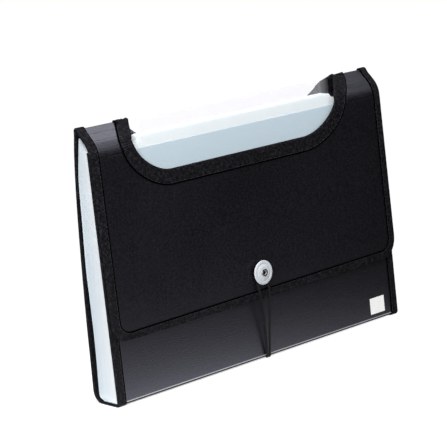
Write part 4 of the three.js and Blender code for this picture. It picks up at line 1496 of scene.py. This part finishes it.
class FOLDER_OT_button(bpy.types.Operator):
    """Make the button's disc and its hollow rivet, and finish the washer behind"""
    bl_idname = "folder.button"
    bl_label = "Button"

    def execute(self, context):
        drop = KNEE[1] - BUTTON_HEIGHT
        out = FILM / 2
        middle_y = KNEE[0] - drop * math.tan(FLAP_LEAN) - out * math.cos(FLAP_LEAN)
        at = (BUTTON_X, middle_y, BUTTON_HEIGHT + out * math.sin(FLAP_LEAN))
        for name, profile, rounding, material, slot, node in (
            ("button_face", BUTTON_PROFILE, BUTTON_ROUNDING, "button", "button_plastic", "button_disc"),
            ("rivet_tube", RIVET_PROFILE, RIVET_ROUNDING, "metal", "rivet_metal", "rivet"),
        ):
            obj = turned(name, rounded(profile, rounding), MATERIALS[material], at, FLAP_LEAN)
            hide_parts(node)
            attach(obj, "flap")
        finish_nodes(MATERIALS["metal"], "rivet_washer")
        return {"FINISHED"}


class FOLDER_OT_label(bpy.types.Operator):
    """Finish the blank label on the front"""
    bl_idname = "folder.label"
    bl_label = "Label"

    def execute(self, context):
        finish_nodes(paper_material(), "blank_label")
        return {"FINISHED"}


class FOLDER_PT_panel(bpy.types.Panel):
    """Lists the folder's pieces"""
    bl_label = "Document Folder"
    bl_idname = "FOLDER_PT_panel"
    bl_space_type = "VIEW_3D"
    bl_region_type = "UI"
    bl_category = "Folder"

    def draw(self, context):
        for operator in OPERATORS:
            self.layout.operator(operator.bl_idname)
        for group in ("cover", "binding", "film", "elastic", "studio"):
            box = self.layout.box()
            box.label(text=group.title())
            values = getattr(context.scene.folder, group)
            for name in values.__annotations__:
                box.prop(values, name)


OPERATORS = (
    FOLDER_OT_studio, FOLDER_OT_elastic, FOLDER_OT_cover, FOLDER_OT_bindings, FOLDER_OT_films,
    FOLDER_OT_pleats, FOLDER_OT_button, FOLDER_OT_label,
)
GROUPS = (CoverSettings, BindingSettings, FilmSettings, ElasticSettings, StudioSettings, FolderSettings)
CLASSES = (*GROUPS, *OPERATORS, FOLDER_PT_panel)


def register():
    for entry in CLASSES:
        bpy.utils.register_class(entry)
    bpy.types.Scene.folder = PointerProperty(type=FolderSettings)


def unregister():
    del bpy.types.Scene.folder
    for entry in reversed(CLASSES):
        bpy.utils.unregister_class(entry)


def main():
    """Builds every piece in order."""
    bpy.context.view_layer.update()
    register()
    settings = bpy.context.scene.folder
    MATERIALS.update(
        cover=cover_material(settings.cover),
        tape=tape_material(settings.binding),
        thread=thread_material(),
        metal=metal_material(),
        button=button_material(),
    )
    bpy.ops.folder.studio()
    bpy.ops.folder.elastic()
    bpy.ops.folder.cover()
    bpy.ops.folder.bindings()
    bpy.ops.folder.films()
    bpy.ops.folder.pleats()
    bpy.ops.folder.button()
    bpy.ops.folder.label()


if __name__ == "__main__":
    main()
